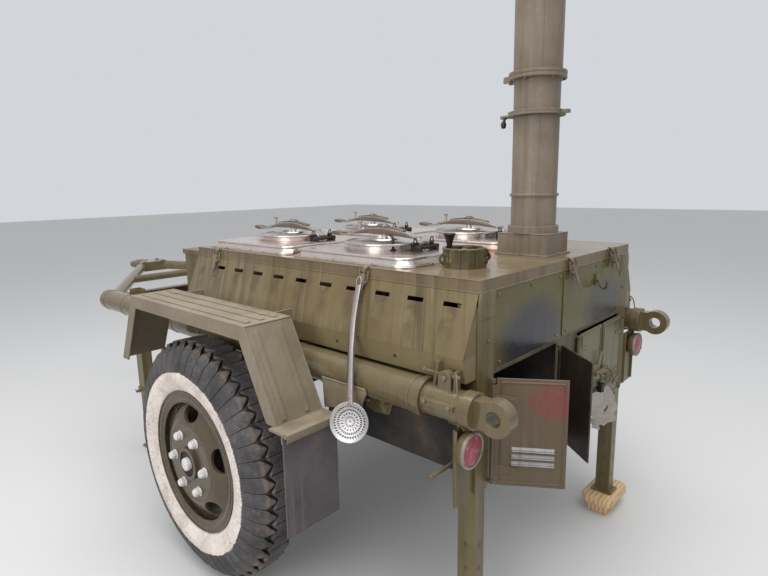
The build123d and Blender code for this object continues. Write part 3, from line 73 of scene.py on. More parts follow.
def place(x, y, z):
    """A point whose X is given from the mudguards' middle."""
    return Vector((GUARD_X + x, y, z))


def only(obj):
    bpy.ops.object.select_all(action="DESELECT")
    obj.select_set(True)
    bpy.context.view_layer.objects.active = obj


def edit(obj):
    only(obj)
    bpy.ops.object.mode_set(mode="EDIT")
    bpy.ops.mesh.select_all(action="SELECT")


def done():
    bpy.ops.object.mode_set(mode="OBJECT")


def settle(obj, name):
    """Names a new piece and puts its place and turn into its mesh."""
    only(obj)
    obj.name = name
    obj.data.name = name
    bpy.ops.object.transform_apply(location=True, rotation=True, scale=True)
    return obj


def clean(obj):
    edit(obj)
    bpy.ops.mesh.remove_doubles(threshold=1e-5)
    bpy.ops.mesh.normals_make_consistent(inside=False)
    done()
    return obj


def use_modifier(obj, modifier):
    only(obj)
    bpy.ops.object.modifier_apply(modifier=modifier.name)


def rounded(obj, edge, steps=2, angle=30):
    """Rounds the sharp edges of a piece."""
    bevel = obj.modifiers.new("edges", "BEVEL")
    bevel.width = edge
    bevel.segments = steps
    bevel.limit_method = "ANGLE"
    bevel.angle_limit = radians(angle)
    use_modifier(obj, bevel)
    return obj


def block(name, low, high, edge=0.002):
    """A rounded block between two corners."""
    low = Vector(low)
    high = Vector(high)
    bpy.ops.object.select_all(action="DESELECT")
    bpy.ops.mesh.primitive_cube_add(size=1, location=(low + high) / 2)
    obj = bpy.context.object
    obj.scale = high - low
    settle(obj, name)
    return rounded(obj, edge) if edge else obj


def drawn(points):
    """An open outline through points, left in edit mode with all of it selected."""
    points = [Vector(point) for point in points]
    bpy.ops.object.select_all(action="DESELECT")
    bpy.ops.mesh.primitive_plane_add(size=0.01, location=points[0])
    bpy.ops.object.mode_set(mode="EDIT")
    bpy.ops.mesh.select_all(action="SELECT")
    bpy.ops.mesh.merge(type="CENTER")
    for here, there in zip(points, points[1:]):
        bpy.ops.mesh.extrude_vertices_move(TRANSFORM_OT_translate={"value": there - here})
    bpy.ops.mesh.select_all(action="SELECT")
    return bpy.context.object


def turned(name, profile, centre, axis, steps):
    """A turned piece: the profile lists (radius, distance along the axis)."""
    centre = Vector(centre)
    out, along = {"X": ((0, 0, 1), (1, 0, 0)), "Y": ((1, 0, 0), (0, 1, 0)), "Z": ((1, 0, 0), (0, 0, 1))}[axis]
    obj = drawn([centre + Vector(out) * radius + Vector(along) * step for radius, step in profile])
    bpy.ops.mesh.spin(steps=steps, angle=2 * pi, center=centre, axis=along)
    bpy.ops.mesh.select_all(action="SELECT")
    done()
    return clean(settle(obj, name))


def plate(name, outline, depth, edge=0.0):
    """A flat plate: a closed outline of points, drawn out by a vector."""
    obj = drawn(outline)
    bpy.ops.mesh.edge_face_add()
    bpy.ops.mesh.select_all(action="SELECT")
    bpy.ops.mesh.extrude_region_move(TRANSFORM_OT_translate={"value": Vector(depth)})
    done()
    clean(settle(obj, name))
    return rounded(obj, edge) if edge else obj


def rod(name, start, end, radius, steps, edge=0.0):
    """A round bar between two points."""
    start = Vector(start)
    way = Vector(end) - start
    bpy.ops.object.select_all(action="DESELECT")
    bpy.ops.mesh.primitive_cylinder_add(vertices=steps, radius=radius, depth=way.length,
                                        location=start + way / 2,
                                        rotation=way.to_track_quat("Z", "Y").to_euler())
    obj = settle(bpy.context.object, name)
    return rounded(obj, edge, angle=50) if edge else obj


def bent(name, points, radius, smooth=True):
    """A bent round bar that runs through points."""
    curve = bpy.data.curves.new(name, "CURVE")
    curve.dimensions = "3D"
    curve.bevel_depth = radius
    curve.bevel_resolution = 3
    curve.resolution_u = 6
    curve.use_fill_caps = True
    spline = curve.splines.new("NURBS" if smooth else "POLY")
    spline.points.add(len(points) - 1)
    for point, (x, y, z) in zip(spline.points, points):
        point.co = (x, y, z, 1)
    if smooth:
        spline.order_u = 3
        spline.use_endpoint_u = True
    obj = bpy.data.objects.new(name, curve)
    bpy.context.scene.collection.objects.link(obj)
    only(obj)
    bpy.ops.object.convert(target="MESH")
    return clean(bpy.context.object)


def joined(name, parts):
    """Several shapes as one piece."""
    bpy.ops.object.select_all(action="DESELECT")
    for part in parts:
        part.select_set(True)
    bpy.context.view_layer.objects.active = parts[0]
    bpy.ops.object.join()
    parts[0].name = name
    parts[0].data.name = name
    return parts[0]


def moved_copy(obj, name, move):
    """A copy with its own mesh, moved by a matrix. A mirroring matrix keeps its faces outwards."""
    copy = obj.copy()
    copy.data = obj.data.copy()
    copy.name = name
    copy.data.name = name
    bpy.context.scene.collection.objects.link(copy)
    copy.data.transform(move)
    if move.determinant() < 0:
        copy.data.flip_normals()
    return copy


def other_side(obj, name):
    return moved_copy(obj, name, Matrix.Scale(-1, 4, (0, 1, 0)))


def without_faces(obj, test):
    """Cuts out every face whose middle passes the test."""
    edit(obj)
    bpy.ops.mesh.select_mode(type="FACE")
    bpy.ops.mesh.select_all(action="DESELECT")
    done()
    for face in obj.data.polygons:
        face.select = test(face.center)
    bpy.ops.object.mode_set(mode="EDIT")
    bpy.ops.mesh.delete(type="FACE")
    bpy.ops.mesh.select_mode(type="VERT")
    done()
    return obj


def shifted(obj, name, by):
    return moved_copy(obj, name, Matrix.Translation(Vector(by)))


def finish(obj, material, body="chassis", replaces=(), angle=35):
    """Gives a piece its smooth shading, its finish and the body that it moves with."""
    only(obj)
    bpy.ops.object.shade_smooth_by_angle(angle=radians(angle), keep_sharp_edges=False)
    obj.data.materials.clear()
    obj.data.materials.append(material)
    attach(obj, body)
    if replaces:
        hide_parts(*replaces)


def both_sides(piece, material, body="chassis"):
    """Finishes a left piece and its mirrored twin. Where the body has two sides, each rides on its own."""
    twin = other_side(piece, piece.name.replace("left", "right"))
    finish(piece, material, body)
    finish(twin, material, body.replace("left", "right"))


# Shader helpers

class Socket:
    """A value in a shader. Sums and products of it add Math nodes."""

    def __init__(self, surface, socket):
        self.surface = surface
        self.socket = socket

    def math(self, operation, *values):
        return self.surface.node("ShaderNodeMath", {"operation": operation}, dict(enumerate(values)))[0]

    def __add__(self, other):
        return self.math("ADD", self, other)

    def __radd__(self, other):
        return self.math("ADD", other, self)

    def __sub__(self, other):
        return self.math("SUBTRACT", self, other)

    def __rsub__(self, other):
        return self.math("SUBTRACT", other, self)

    def __mul__(self, other):
        return self.math("MULTIPLY", self, other)

    def __rmul__(self, other):
        return self.math("MULTIPLY", other, self)

    def __truediv__(self, other):
        return self.math("DIVIDE", self, other)

    def __pow__(self, other):
        return self.math("POWER", self, other)


class Surface:
    """One procedural finish: a material, its shader and the patterns that it is made of."""

    def __init__(self, name, roughness=0.5, metallic=0.0, coat=0.0):
        self.material = bpy.data.materials.new(name)
        self.material.use_nodes = True
        self.tree = self.material.node_tree
        self.shader = self.tree.nodes["Principled BSDF"]
        self.shader.inputs["Roughness"].default_value = roughness
        self.shader.inputs["Metallic"].default_value = metallic
        self.shader.inputs["Coat Weight"].default_value = coat
        self.shader.inputs["Coat Roughness"].default_value = 0.25
        self.place = self.node("ShaderNodeTexCoord")["Object"]
        self.normal = None

    def node(self, kind, settings=None, sockets=None):
        """Adds a node, sets it up, fills its sockets and returns its outputs."""
        node = self.tree.nodes.new(kind)
        for key, value in (settings or {}).items():
            if key == "stops":
                ramp = node.color_ramp
                while len(ramp.elements) < len(value):
                    ramp.elements.new(0.5)
                for element, (position, color) in zip(ramp.elements, value):
                    element.position = position
                    element.color = (*color, 1)
            else:
                setattr(node, key, value)
        for key, value in (sockets or {}).items():
            target = node.inputs[key]
            if isinstance(value, Socket):
                self.tree.links.new(value.socket, target)
            elif isinstance(value, tuple) and len(value) == 3 and target.type == "RGBA":
                target.default_value = (*value, 1)
            else:
                target.default_value = value
        outputs = {output.name: Socket(self, output) for output in node.outputs if output.enabled}
        outputs.update({index: Socket(self, output) for index, output in enumerate(node.outputs)})
        return outputs

    def scaled(self, scale, centre=(0, 0, 0)):
        """The place on the object, measured from a centre and stretched."""
        moved = self.node("ShaderNodeVectorMath", {"operation": "SUBTRACT"}, {0: self.place, 1: centre})[0]
        return self.node("ShaderNodeMapping", {"vector_type": "POINT"},
                         {"Vector": moved, "Scale": scale})["Vector"]

    def noise(self, scale, detail=4.0, rough=0.55, vector=None, seed=0.0, twist=0.0):
        """Even noise from 0 to 1."""
        return self.node("ShaderNodeTexNoise", {"noise_dimensions": "4D"},
                         {"Vector": vector or self.place, "W": seed, "Scale": scale, "Detail": detail,
                          "Roughness": rough, "Distortion": twist})[0]

    def step(self, value, low, high):
        """0 below low, 1 above high, smooth between."""
        return self.node("ShaderNodeMapRange", {"interpolation_type": "SMOOTHSTEP"},
                         {"Value": value, "From Min": low, "From Max": high})["Result"]

    def axes(self, vector):
        return self.node("ShaderNodeSeparateXYZ", None, {0: vector})

    def mix(self, share, under, over):
        """One colour laid over another by a share from 0 to 1."""
        return self.node("ShaderNodeMix", {"data_type": "RGBA"}, {0: share, 6: under, 7: over})[2]

    def up(self):
        """1 where the surface faces up, 0 where it is upright or faces down."""
        normal = self.node("ShaderNodeNewGeometry")["Normal"]
        return self.step(self.axes(normal)["Z"], 0.35, 0.9)

    def edges(self, radius=0.004):
        """1 along sharp outer and inner edges. The rounded normal also softens them in the shading."""
        soft = self.node("ShaderNodeBevel", {"samples": 4}, {"Radius": radius})["Normal"]
        self.normal = soft
        hard = self.node("ShaderNodeNewGeometry")["Normal"]
        likeness = self.node("ShaderNodeVectorMath", {"operation": "DOT_PRODUCT"},
                             {0: soft, 1: hard})["Value"]
        return self.step(1 - likeness, 0.02, 0.25)

    def bump(self, height, distance):
        """Adds relief whose height runs from 0 to 1 over a distance."""
        sockets = {"Height": height, "Distance": distance, "Strength": 1.0}
        if self.normal:
            sockets["Normal"] = self.normal
        self.normal = self.node("ShaderNodeBump", None, sockets)["Normal"]

    def wear(self, color, roughness=None, metallic=None):
        """Sends what varies to the shader."""
        for key, value in (("Base Color", color), ("Roughness", roughness), ("Metallic", metallic),
                           ("Normal", self.normal)):
            if value is not None:
                self.tree.links.new(value.socket, self.shader.inputs[key])
        return self.material


# Finishes

OLIVE = (0.104, 0.080, 0.022)
OLIVE_PALE = (0.158, 0.122, 0.048)
OLIVE_DARK = (0.056, 0.040, 0.016)
OLIVE_GREEN = (0.088, 0.076, 0.012)
DUST = (0.290, 0.236, 0.170)
GRIME = (0.048, 0.030, 0.012)
RUST = (0.200, 0.070, 0.025)
SOOT = (0.012, 0.011, 0.011)


def olive_paint(name, base=OLIVE, pale=OLIVE_PALE, dust=0.5, streaks=0.5, chips=0.4, gloss=0.42, dents=0.0,
                extra=None):
    """Brushed olive paint with patchy tone, grime that ran down, dust on top and rubbed edges."""
    s = Surface(name, roughness=gloss)
    broad = s.noise(1.6, 3, seed=1.0)
    patches = s.noise(7.0, 6, 0.6, seed=2.0)
    fine = s.noise(55.0, 4, 0.6, seed=3.0)
    at = s.axes(s.place)
    along = at["X"] + 0.6 * at["Y"]
    runs = s.noise(1.0, 5, 0.6, vector=s.node("ShaderNodeCombineXYZ", None,
                                              {0: along * 30, 2: at["Z"] * 1.4})[0], seed=4.0)
    thin = s.noise(1.0, 4, 0.6, vector=s.node("ShaderNodeCombineXYZ", None,
                                              {0: along * 60, 2: at["Z"] * 3.0})[0], seed=9.0)
    up = s.up()
    edge = s.edges()
    color = s.mix(s.step(broad + 0.35 * patches, 0.45, 0.95), base, pale)
    steep = 1 - s.step(up, 0.45, 0.90)
    color = s.mix(s.step(runs * steep, 0.46, 0.64) * streaks, color, GRIME)
    color = s.mix(s.step(thin * steep, 0.54, 0.70) * (0.50 * streaks), color, DUST)
    color = s.mix(s.step(fine, 0.35, 0.75) * 0.22, color, OLIVE_DARK)
    dusty = s.step(patches + 0.4 * fine, 0.45, 0.95) * (0.25 + 0.75 * up) * dust
    color = s.mix(dusty, color, DUST)
    rubbed = edge * s.step(patches + fine, 0.75, 1.15)
    color = s.mix(rubbed * 0.7, color, DUST)
    spots = s.step(s.noise(24.0, 5, 0.7, seed=5.0), 0.70, 0.76) * chips
    color = s.mix(spots, color, RUST)
    color = s.mix(s.step(s.noise(42.0, 5, 0.7, seed=17.0), 0.66, 0.72) * (0.8 * chips), color, DUST)
    if extra:
        color = extra(s, color)
    s.bump(fine, 0.0006)
    s.bump(s.noise(18.0, 3, seed=6.0), 0.0015)
    if dents:
        s.bump(s.noise(5.0, 2, 0.4, seed=7.0), dents)
    rough = gloss + 0.30 * dusty + 0.22 * (patches - 0.5)
    return s.wear(color=color, roughness=rough)


def side_marks(s, color):
    """Warm stains, a paler band low on the side that is painted light on the shaded lower facet, dark runs
    below the vents and seams between panels.
    """
    at = s.axes(s.place)
    warm = s.step(s.noise(2.4, 4, 0.6, seed=15.0), 0.42, 0.66)
    color = s.mix(warm * 0.45, color, (0.150, 0.092, 0.032))
    # Painted light: the facet below the fold is made paler to lift the shade that it gets under the overhead
    # light.
    below = 1 - s.step(at["Z"], 1.018, 1.024)
    color = s.mix(below * 0.75, color, (0.205, 0.160, 0.080))
    slot = (at["X"] - GUARD_X - 0.288) / 0.136
    near = 1 - s.step(slot.math("PINGPONG", slot, 0.5), 0.10, 0.26)
    drip = near * s.step(at["Z"], 1.000, 1.140) * (1 - s.step(at["Z"], 1.150, 1.158))
    color = s.mix(drip * s.step(s.noise(22.0, 4, seed=16.0), 0.38, 0.58) * 0.60, color, (0.064, 0.038, 0.014))
    across = (at["X"] - GUARD_X + 0.095) / 0.272
    seam = 1 - s.step(across.math("PINGPONG", across, 0.5), 0.003, 0.008)
    worn = s.step(s.noise(4.0, 4, seed=14.0), 0.42, 0.62)
    s.bump(1 - seam, 0.0010)
    return s.mix(seam * worn * 0.40, color, OLIVE_DARK)


def scorch_marks(s, color):
    """Heat has burnt the paint of the rear panels blue-grey."""
    at = s.axes(s.place)
    blur = 0.10 * (s.noise(6.0, 4, seed=11.0) - 0.5)
    green = s.step(s.noise(3.0, 3, seed=12.0), 0.36, 0.60) * 0.85
    color = s.mix(green, color, OLIVE_GREEN)
    for y, z, wide, high, share in ((0.265, 1.015, 0.225, 0.135, 0.95), (-0.330, 1.000, 0.190, 0.135, 0.80)):
        dy = (at["Y"] - y) / wide
        dz = (at["Z"] - z) / high
        away = dy * dy + dz * dz + blur * 6
        color = s.mix((1 - s.step(away, 0.20, 1.25)) * share, color, (0.032, 0.032, 0.042))
    return color


def rust_patch(s, color):
    """Red primer shows through on the outer door."""
    at = s.axes(s.place)
    dz = (at["Z"] - 0.872) / 0.050
    dy = (at["Y"] - 0.425) / 0.040
    away = dy * dy + dz * dz
    specks = s.step(s.noise(60.0, 5, 0.75, seed=13.0), 0.40, 0.52)
    upper = s.step(at["Z"], 0.700, 0.800)
    color = s.mix(upper * 0.30, color, (0.130, 0.070, 0.044))
    return s.mix((1 - s.step(away, 0.5, 1.6)) * specks * 0.90, color, (0.180, 0.036, 0.030))


def steel(name, base, stain, gloss, stains, soot=0.0):
    """Bare steel or tinplate with heat stains and scratches."""
    s = Surface(name, roughness=gloss, metallic=1.0)
    patches = s.noise(6.0, 6, 0.6, seed=1.0)
    fine = s.noise(70.0, 4, 0.65, seed=2.0)
    cloud = s.noise(2.6, 4, 0.6, seed=3.0, twist=0.6)
    s.edges(0.003)
    color = s.mix(s.step(patches + 0.4 * fine, 0.45, 1.0), base, tuple(0.72 * c for c in base))
    color = s.mix(s.step(cloud + 0.25 * patches, 0.58, 0.80) * stains, color, stain)
    color = s.mix(s.step(fine, 0.62, 0.80) * soot, color, SOOT)
    s.bump(fine, 0.0004)
    s.bump(s.noise(9.0, 3, seed=4.0), 0.0020)
    dull = s.step(cloud + 0.25 * patches, 0.55, 0.80) * stains
    return s.wear(color=color, roughness=gloss + 0.35 * dull + 0.15 * (patches - 0.5),
                  metallic=1.0 - 0.35 * dull)


def stove_plate():
    """Heat-darkened plate with soot and rust."""
    s = Surface("stove_plate", roughness=0.85)
    patches = s.noise(5.0, 6, 0.65, seed=1.0)
    fine = s.noise(60.0, 4, 0.6, seed=2.0)
    s.edges(0.003)
    color = s.mix(s.step(patches, 0.35, 0.7), SOOT, (0.055, 0.045, 0.038))
    color = s.mix(s.step(patches + 0.5 * fine, 0.85, 1.05) * 0.6, color, RUST)
    s.bump(fine, 0.0012)
    return s.wear(color=color, roughness=0.75 + 0.2 * fine)


def tyre_rubber(name, side):
    """Dusty black rubber, with the outer wall painted white from the rim outwards."""
    s = Surface(name, roughness=0.7)
    at = s.axes(s.scaled((1, 1, 1), centre=(AXLE_X, side * WHEEL_Y, AXLE_Z)))
    radius = (at["X"] * at["X"] + at["Z"] * at["Z"]) ** 0.5
    across = at["Y"] * side
    out = s.step(across, 0.060, 0.075)
    patches = s.noise(8.0, 6, 0.65, seed=1.0)
    fine = s.noise(75.0, 4, 0.65, seed=2.0)
    turn = at["X"].math("ARCTAN2", at["X"], at["Z"])
    scuffs = s.noise(1.0, 4, 0.6, seed=3.0, vector=s.node("ShaderNodeCombineXYZ", None,
                                                          {0: turn * 30, 1: radius * 26})[0])
    color = s.mix(s.step(patches, 0.35, 0.75), (0.032, 0.029, 0.030), (0.108, 0.098, 0.095))
    color = s.mix(s.step(fine + 0.4 * patches, 0.72, 0.98) * 0.7, color, (0.200, 0.178, 0.165))
    color = s.mix(s.step(scuffs, 0.52, 0.75) * 0.35, color, (0.150, 0.135, 0.125))
    tips = s.step(across, 0.036, 0.046) * (1 - s.step(across, 0.062, 0.076)) * s.step(radius, 0.435, 0.448)
    mud = tips * s.step(s.noise(16.0, 5, 0.65, seed=8.0), 0.40, 0.62)
    color = s.mix(mud * 0.75, color, (0.190, 0.135, 0.100))
    # Painted shade: the floor of the tread between the blocks is darkened nearly black.
    painted_groove_shade = 1 - s.step(radius, 0.452, 0.462)
    color = s.mix(painted_groove_shade * (1 - s.step(across.math("ABSOLUTE", across), 0.050, 0.062)), color,
                  (0.010, 0.009, 0.010))
    waves = (turn * 288).math("SINE", turn * 288)
    lines = waves * s.step(radius, 0.356, 0.372) * (1 - s.step(radius, 0.415, 0.440))
    s.bump(lines * 0.5 + 0.5, 0.0008)
    # Painted shade: the fine ridges on the shoulder are darkened in colour as well as raised.
    color = s.mix(s.step(lines, 0.30, 0.90) * 0.45, color, (0.016, 0.015, 0.017))
    edge = 0.016 * (s.noise(14.0, 3, seed=4.0) - 0.5) + 0.010 * (s.noise(60.0, 4, 0.7, seed=9.0) - 0.5)
    white = (1 - s.step(radius + edge, 0.352, 0.357)) * out
    worn = s.step(s.noise(26.0, 6, 0.7, seed=5.0) + 0.15 * patches, 0.67, 0.76)
    paint = s.mix(s.step(patches + 0.6 * fine, 0.60, 1.15), (0.760, 0.680, 0.620), (0.400, 0.335, 0.285))
    paint = s.mix(s.step(s.noise(60.0, 5, 0.7, seed=6.0), 0.60, 0.70) * 0.8, paint, (0.130, 0.105, 0.090))
    color = s.mix(white * (1 - 0.85 * worn), color, paint)
    s.bump(fine, 0.0009)
    s.bump(patches, 0.0015)
    return s.wear(color=color, roughness=0.50 + 0.30 * patches)


def rubber_sheet():
    s = Surface("flap_rubber", roughness=0.6)
    patches = s.noise(5.0, 6, 0.6, seed=1.0)
    fine = s.noise(60.0, 4, 0.6, seed=2.0)
    runs = s.noise(1.0, 4, 0.6, vector=s.scaled((22, 22, 1.6)), seed=3.0)
    color = s.mix(s.step(patches + 0.3 * fine, 0.35, 0.9), (0.054, 0.045, 0.048), (0.118, 0.098, 0.100))
    color = s.mix(s.step(runs, 0.55, 0.75) * 0.5, color, (0.210, 0.185, 0.175))
    s.bump(fine, 0.0008)
    return s.wear(color=color, roughness=0.52 + 0.3 * patches)


def white_paint():
    """Brushed white paint on the nuts and hub cap, grimy in the corners."""
    s = Surface("nut_white", roughness=0.5)
    fine = s.noise(130.0, 4, 0.65, seed=1.0)
    edge = s.edges(0.002)
    color = s.mix(s.step(fine, 0.45, 0.75), (0.680, 0.660, 0.640), (0.300, 0.265, 0.235))
    color = s.mix(edge * 0.25, color, GRIME)
    s.bump(fine, 0.0006)
    return s.wear(color=color)


def pine():
    """Raw pine with its grain along the board."""
    s = Surface("raw_pine", roughness=0.65)
    grain = s.noise(1.0, 6, 0.6, vector=s.scaled((60, 5, 60)), seed=1.0, twist=0.4)
    rings = s.node("ShaderNodeTexWave", {"wave_type": "BANDS", "bands_direction": "X"},
                   {"Vector": s.scaled((1, 0.12, 1)), "Scale": 16.0, "Distortion": 5.0, "Detail": 3.0})["Fac"]
    color = s.mix(s.step(grain + 0.4 * rings, 0.45, 1.0), (0.690, 0.500, 0.290), (0.470, 0.290, 0.130))
    color = s.mix(s.step(s.noise(12.0, 5, seed=2.0), 0.60, 0.75) * 0.4, color, (0.200, 0.140, 0.085))
    s.bump(grain, 0.0008)
    return s.wear(color=color)


def red_lens():
    s = Surface("lamp_red", roughness=0.25, coat=0.6)
    at = s.axes(s.place)
    fine = s.noise(60.0, 5, 0.7, seed=1.0)
    ribs = (at["Y"] * 620).math("SINE", at["Y"] * 620)
    color = s.mix(s.step(fine, 0.50, 0.72), (0.270, 0.008, 0.034), (0.440, 0.180, 0.200))
    color = s.mix(s.step(s.noise(34.0, 5, 0.7, seed=2.0), 0.55, 0.70) * 0.8, color, (0.110, 0.020, 0.030))
    s.bump(ribs * 0.5 + 0.5, 0.0012)
    return s.wear(color=color, roughness=0.22 + 0.4 * fine)


PAINT = olive_paint("olive_paint", dust=0.32, gloss=0.34)
SIDE_PAINT = olive_paint("side_paint", base=(0.114, 0.082, 0.030), pale=(0.176, 0.134, 0.060), dust=0.38,
                         streaks=0.80, gloss=0.36, dents=0.010, extra=side_marks)
REAR_PAINT = olive_paint("rear_paint", base=(0.090, 0.068, 0.018), pale=(0.132, 0.104, 0.034), dust=0.12,
                         streaks=0.35, gloss=0.26, dents=0.006, extra=scorch_marks)
GUARD_PAINT = olive_paint("guard_paint", base=(0.150, 0.118, 0.070), pale=(0.245, 0.202, 0.148), dust=0.85,
                          gloss=0.40, streaks=0.12, chips=0.7, dents=0.008)
DECK_PAINT = olive_paint("deck_paint", base=(0.130, 0.090, 0.042), pale=(0.195, 0.142, 0.080), dust=0.22,
                         chips=0.9, gloss=0.20, dents=0.006)
TUBE_PAINT = olive_paint("tube_paint", base=(0.108, 0.080, 0.036), pale=(0.148, 0.113, 0.056), dust=0.22,
                         streaks=0.3, gloss=0.12)
WHEEL_PAINT = olive_paint("wheel_paint", base=(0.052, 0.034, 0.017), pale=(0.080, 0.056, 0.030), dust=0.20,
                          streaks=0.3, gloss=0.26)
CHIMNEY_PAINT = olive_paint("chimney_paint", base=(0.145, 0.110, 0.074), pale=(0.235, 0.192, 0.146), dust=0.6,
                            streaks=0.35, chips=1.0, gloss=0.45)
LOW_PAINT = olive_paint("underside_paint", base=(0.078, 0.060, 0.032), pale=(0.110, 0.088, 0.056), dust=0.35,
                        streaks=0.9, chips=0.8, gloss=0.55)
DOOR_PAINT = olive_paint("door_paint", base=(0.088, 0.062, 0.030), pale=(0.122, 0.090, 0.052), dust=0.16,
                         streaks=0.3, chips=0.5, gloss=0.42, dents=0.004, extra=rust_patch)
PAN = steel("pan_steel", (0.780, 0.690, 0.640), (0.480, 0.260, 0.150), gloss=0.26, stains=0.80)
LID = steel("lid_steel", (0.640, 0.590, 0.550), (0.300, 0.210, 0.150), gloss=0.22, stains=0.55)
BOW = steel("bow_steel", (0.300, 0.235, 0.180), (0.090, 0.060, 0.040), gloss=0.38, stains=0.6, soot=0.3)
BLACK_IRON = steel("black_iron", (0.060, 0.055, 0.052), (0.100, 0.045, 0.022), gloss=0.5, stains=0.5,
                   soot=0.5)
TIN = steel("tin", (0.640, 0.615, 0.610), (0.400, 0.350, 0.320), gloss=0.44, stains=0.4)
STRAP_STEEL = steel("strap_steel", (0.420, 0.375, 0.360), (0.240, 0.190, 0.165), gloss=0.36, stains=0.6)
SHIELD = steel("shield_tin", (0.500, 0.460, 0.400), (0.300, 0.220, 0.140), gloss=0.46, stains=0.7)
RIM_PALE = olive_paint("lamp_rim_paint", base=(0.240, 0.228, 0.196), pale=(0.360, 0.340, 0.300), dust=0.4,
                       chips=0.6)
WORN_PAINT = olive_paint("worn_paint", base=(0.096, 0.070, 0.032), pale=(0.270, 0.222, 0.156), dust=0.50,
                         chips=1.0, gloss=0.28)
FILLER_PAINT = olive_paint("filler_paint", base=(0.056, 0.042, 0.010), pale=(0.098, 0.074, 0.022), dust=0.16,
                           chips=0.9, gloss=0.16)
CLOSED_PAINT = olive_paint("closed_door_paint", base=(0.098, 0.082, 0.034), pale=(0.158, 0.134, 0.068),
                           dust=0.16, streaks=0.5, chips=0.8, gloss=0.34, dents=0.006)
LEAF_DARK = olive_paint("inner_leaf_paint", base=(0.024, 0.016, 0.013), pale=(0.044, 0.030, 0.024), dust=0.12,
                        streaks=0.2, gloss=0.30)
LOUVRE_PALE = olive_paint("louvre_paint", base=(0.330, 0.320, 0.320), pale=(0.440, 0.430, 0.430), dust=0.3,
                          chips=0.5)
STOVE = stove_plate()
NUT_WHITE = white_paint()
FLAP = rubber_sheet()
PINE = pine()
LENS = red_lens()
TYRE = {"left": tyre_rubber("tyre_left_rubber", 1), "right": tyre_rubber("tyre_right_rubber", -1)}

# Which finish each piece of the frame has where its own shape is shown
FRAME_FINISH = (
    # finish, names that the nodes start with
    (SIDE_PAINT, ("body_side", "front_wall")),
    (REAR_PAINT, ("rear_panels",)),
    (CLOSED_PAINT, ("door_right",)),
    (GUARD_PAINT, ("mudguard",)),
    (DECK_PAINT, ("deck",)),
    (TUBE_PAINT, ("side_tube", "rear_eyes", "tow_ring", "drawbar")),
    (CHIMNEY_PAINT, ("chimney",)),
    (LOW_PAINT, ("cross_members", "torsion_beam", "swing_arm", "door_pins")),
    (WHEEL_PAINT, ("hub", "wheel_rim")),
    (PAINT, ("leg", "front_box", "latches", "lamp_housings")),
    (FILLER_PAINT, ("filler",)),
    (LEAF_DARK, ("door_left_inner",)),
    (DOOR_PAINT, ("door_left_outer",)),
    (STOVE, ("firebox", "front_stove")),
    (PAN, ("boiler",)),
    (LID, ("lid_",)),
    (TYRE["left"], ("tyre_left",)),
    (TYRE["right"], ("tyre_right",)),
    (FLAP, ("mud_flaps",)),
    (LENS, ("lamp_lenses",)),
    (TIN, ("skimmer",)),
    (PINE, ("ground_block",)),
)


def dress_frame():
    for material, starts in FRAME_FINISH:
        for name, node in nodes.items():
            if name.startswith(starts):
                for material_slot in node.material_slots:
                    material_slot.material = material


# Wheels

TYRE_R = 0.470
WHEEL_CENTRE = Vector((AXLE_X, WHEEL_Y, AXLE_Z))
LUGS = 48
LUG_PITCH = 2 * pi / LUGS
LUG_HALF = 0.0278
LUG_TIP = 0.040
LUG_ROOT = 0.067
ZIGZAG = 0.013
STUD_CIRCLE_R = 0.1111
NUT_FACE = 0.097


def wheel_turn(angle):
    """A turn about the left wheel's axle."""
    away = Matrix.Translation(WHEEL_CENTRE)
    return away @ Matrix.Rotation(angle, 4, "Y") @ away.inverted()


def on_wheel(x, y, radius):
    return WHEEL_CENTRE + Vector((x, y, radius))


def cut_away(obj, point, direction):
    """Saws off what lies beyond a plane and closes the cut."""
    edit(obj)
    bpy.ops.mesh.bisect(plane_co=point, plane_no=direction, use_fill=True, clear_outer=True)
    done()
    return obj


def tyre_carcass():
    half = [
        # radius, distance from the wheel's middle: outside from tread to bead, then the inside back
        (0.4560, 0.0), (0.4550, 0.0280), (0.4500, 0.0450), (0.4420, 0.0590), (0.4310, 0.0705),
        (0.4170, 0.0805), (0.3990, 0.0893), (0.3800, 0.0955), (0.3640, 0.1000), (0.3520, 0.1018),
        (0.3350, 0.1022), (0.3150, 0.0990), (0.2950, 0.0930), (0.2840, 0.0880), (0.2790, 0.0840),
        (0.2785, 0.0795), (0.2550, 0.0755), (0.2550, 0.0510), (0.2990, 0.0710), (0.3750, 0.0760),
        (0.4250, 0.0480), (0.4400, 0.0),
    ]
    ring = half + [(radius, -across) for radius, across in reversed(half[1:-1])] + [half[0]]
    return turned("carcass", ring, WHEEL_CENTRE, "Y", 144)


def shoulder_lug():
    """A block across the shoulder, pointed towards the middle of the tread."""
    side_view = [
        (LUG_TIP, 0.4655), (0.0480, 0.4615), (0.0570, 0.4540), (0.0680, 0.4430), (0.0800, 0.4270),
        (0.0900, 0.4060), (0.0980, 0.3820), (0.1025, 0.3620), (0.0990, 0.3560), (0.0890, 0.3780),
        (0.0760, 0.4020), (0.0620, 0.4240), (0.0480, 0.4400), (LUG_TIP, 0.4450),
    ]
    lug = plate("lug", [on_wheel(-LUG_HALF, across, radius) for across, radius in side_view],
                (2 * LUG_HALF, 0, 0))
    for side in (-1, 1):
        cut_away(lug, on_wheel(side * LUG_HALF, LUG_ROOT, TYRE_R),
                 (side * (LUG_ROOT - LUG_TIP), 0.002 - LUG_HALF, 0))
        cut_away(lug, on_wheel(side * LUG_HALF, 0.09, 0.450), (side * 1.0, 0, -0.0645))
    rounded(lug, 0.0022, 2)
    pad = plate("pad", [on_wheel(x, across, radius) for x, across, radius in (
        (0, 0.0450, 0.4615), (0.0150, 0.0570, 0.4525), (0.0140, 0.0690, 0.4405), (-0.0140, 0.0690, 0.4405),
        (-0.0150, 0.0570, 0.4525))], (0, 0.0018, 0.0030), 0.0012)
    return joined("lug", [lug, pad])


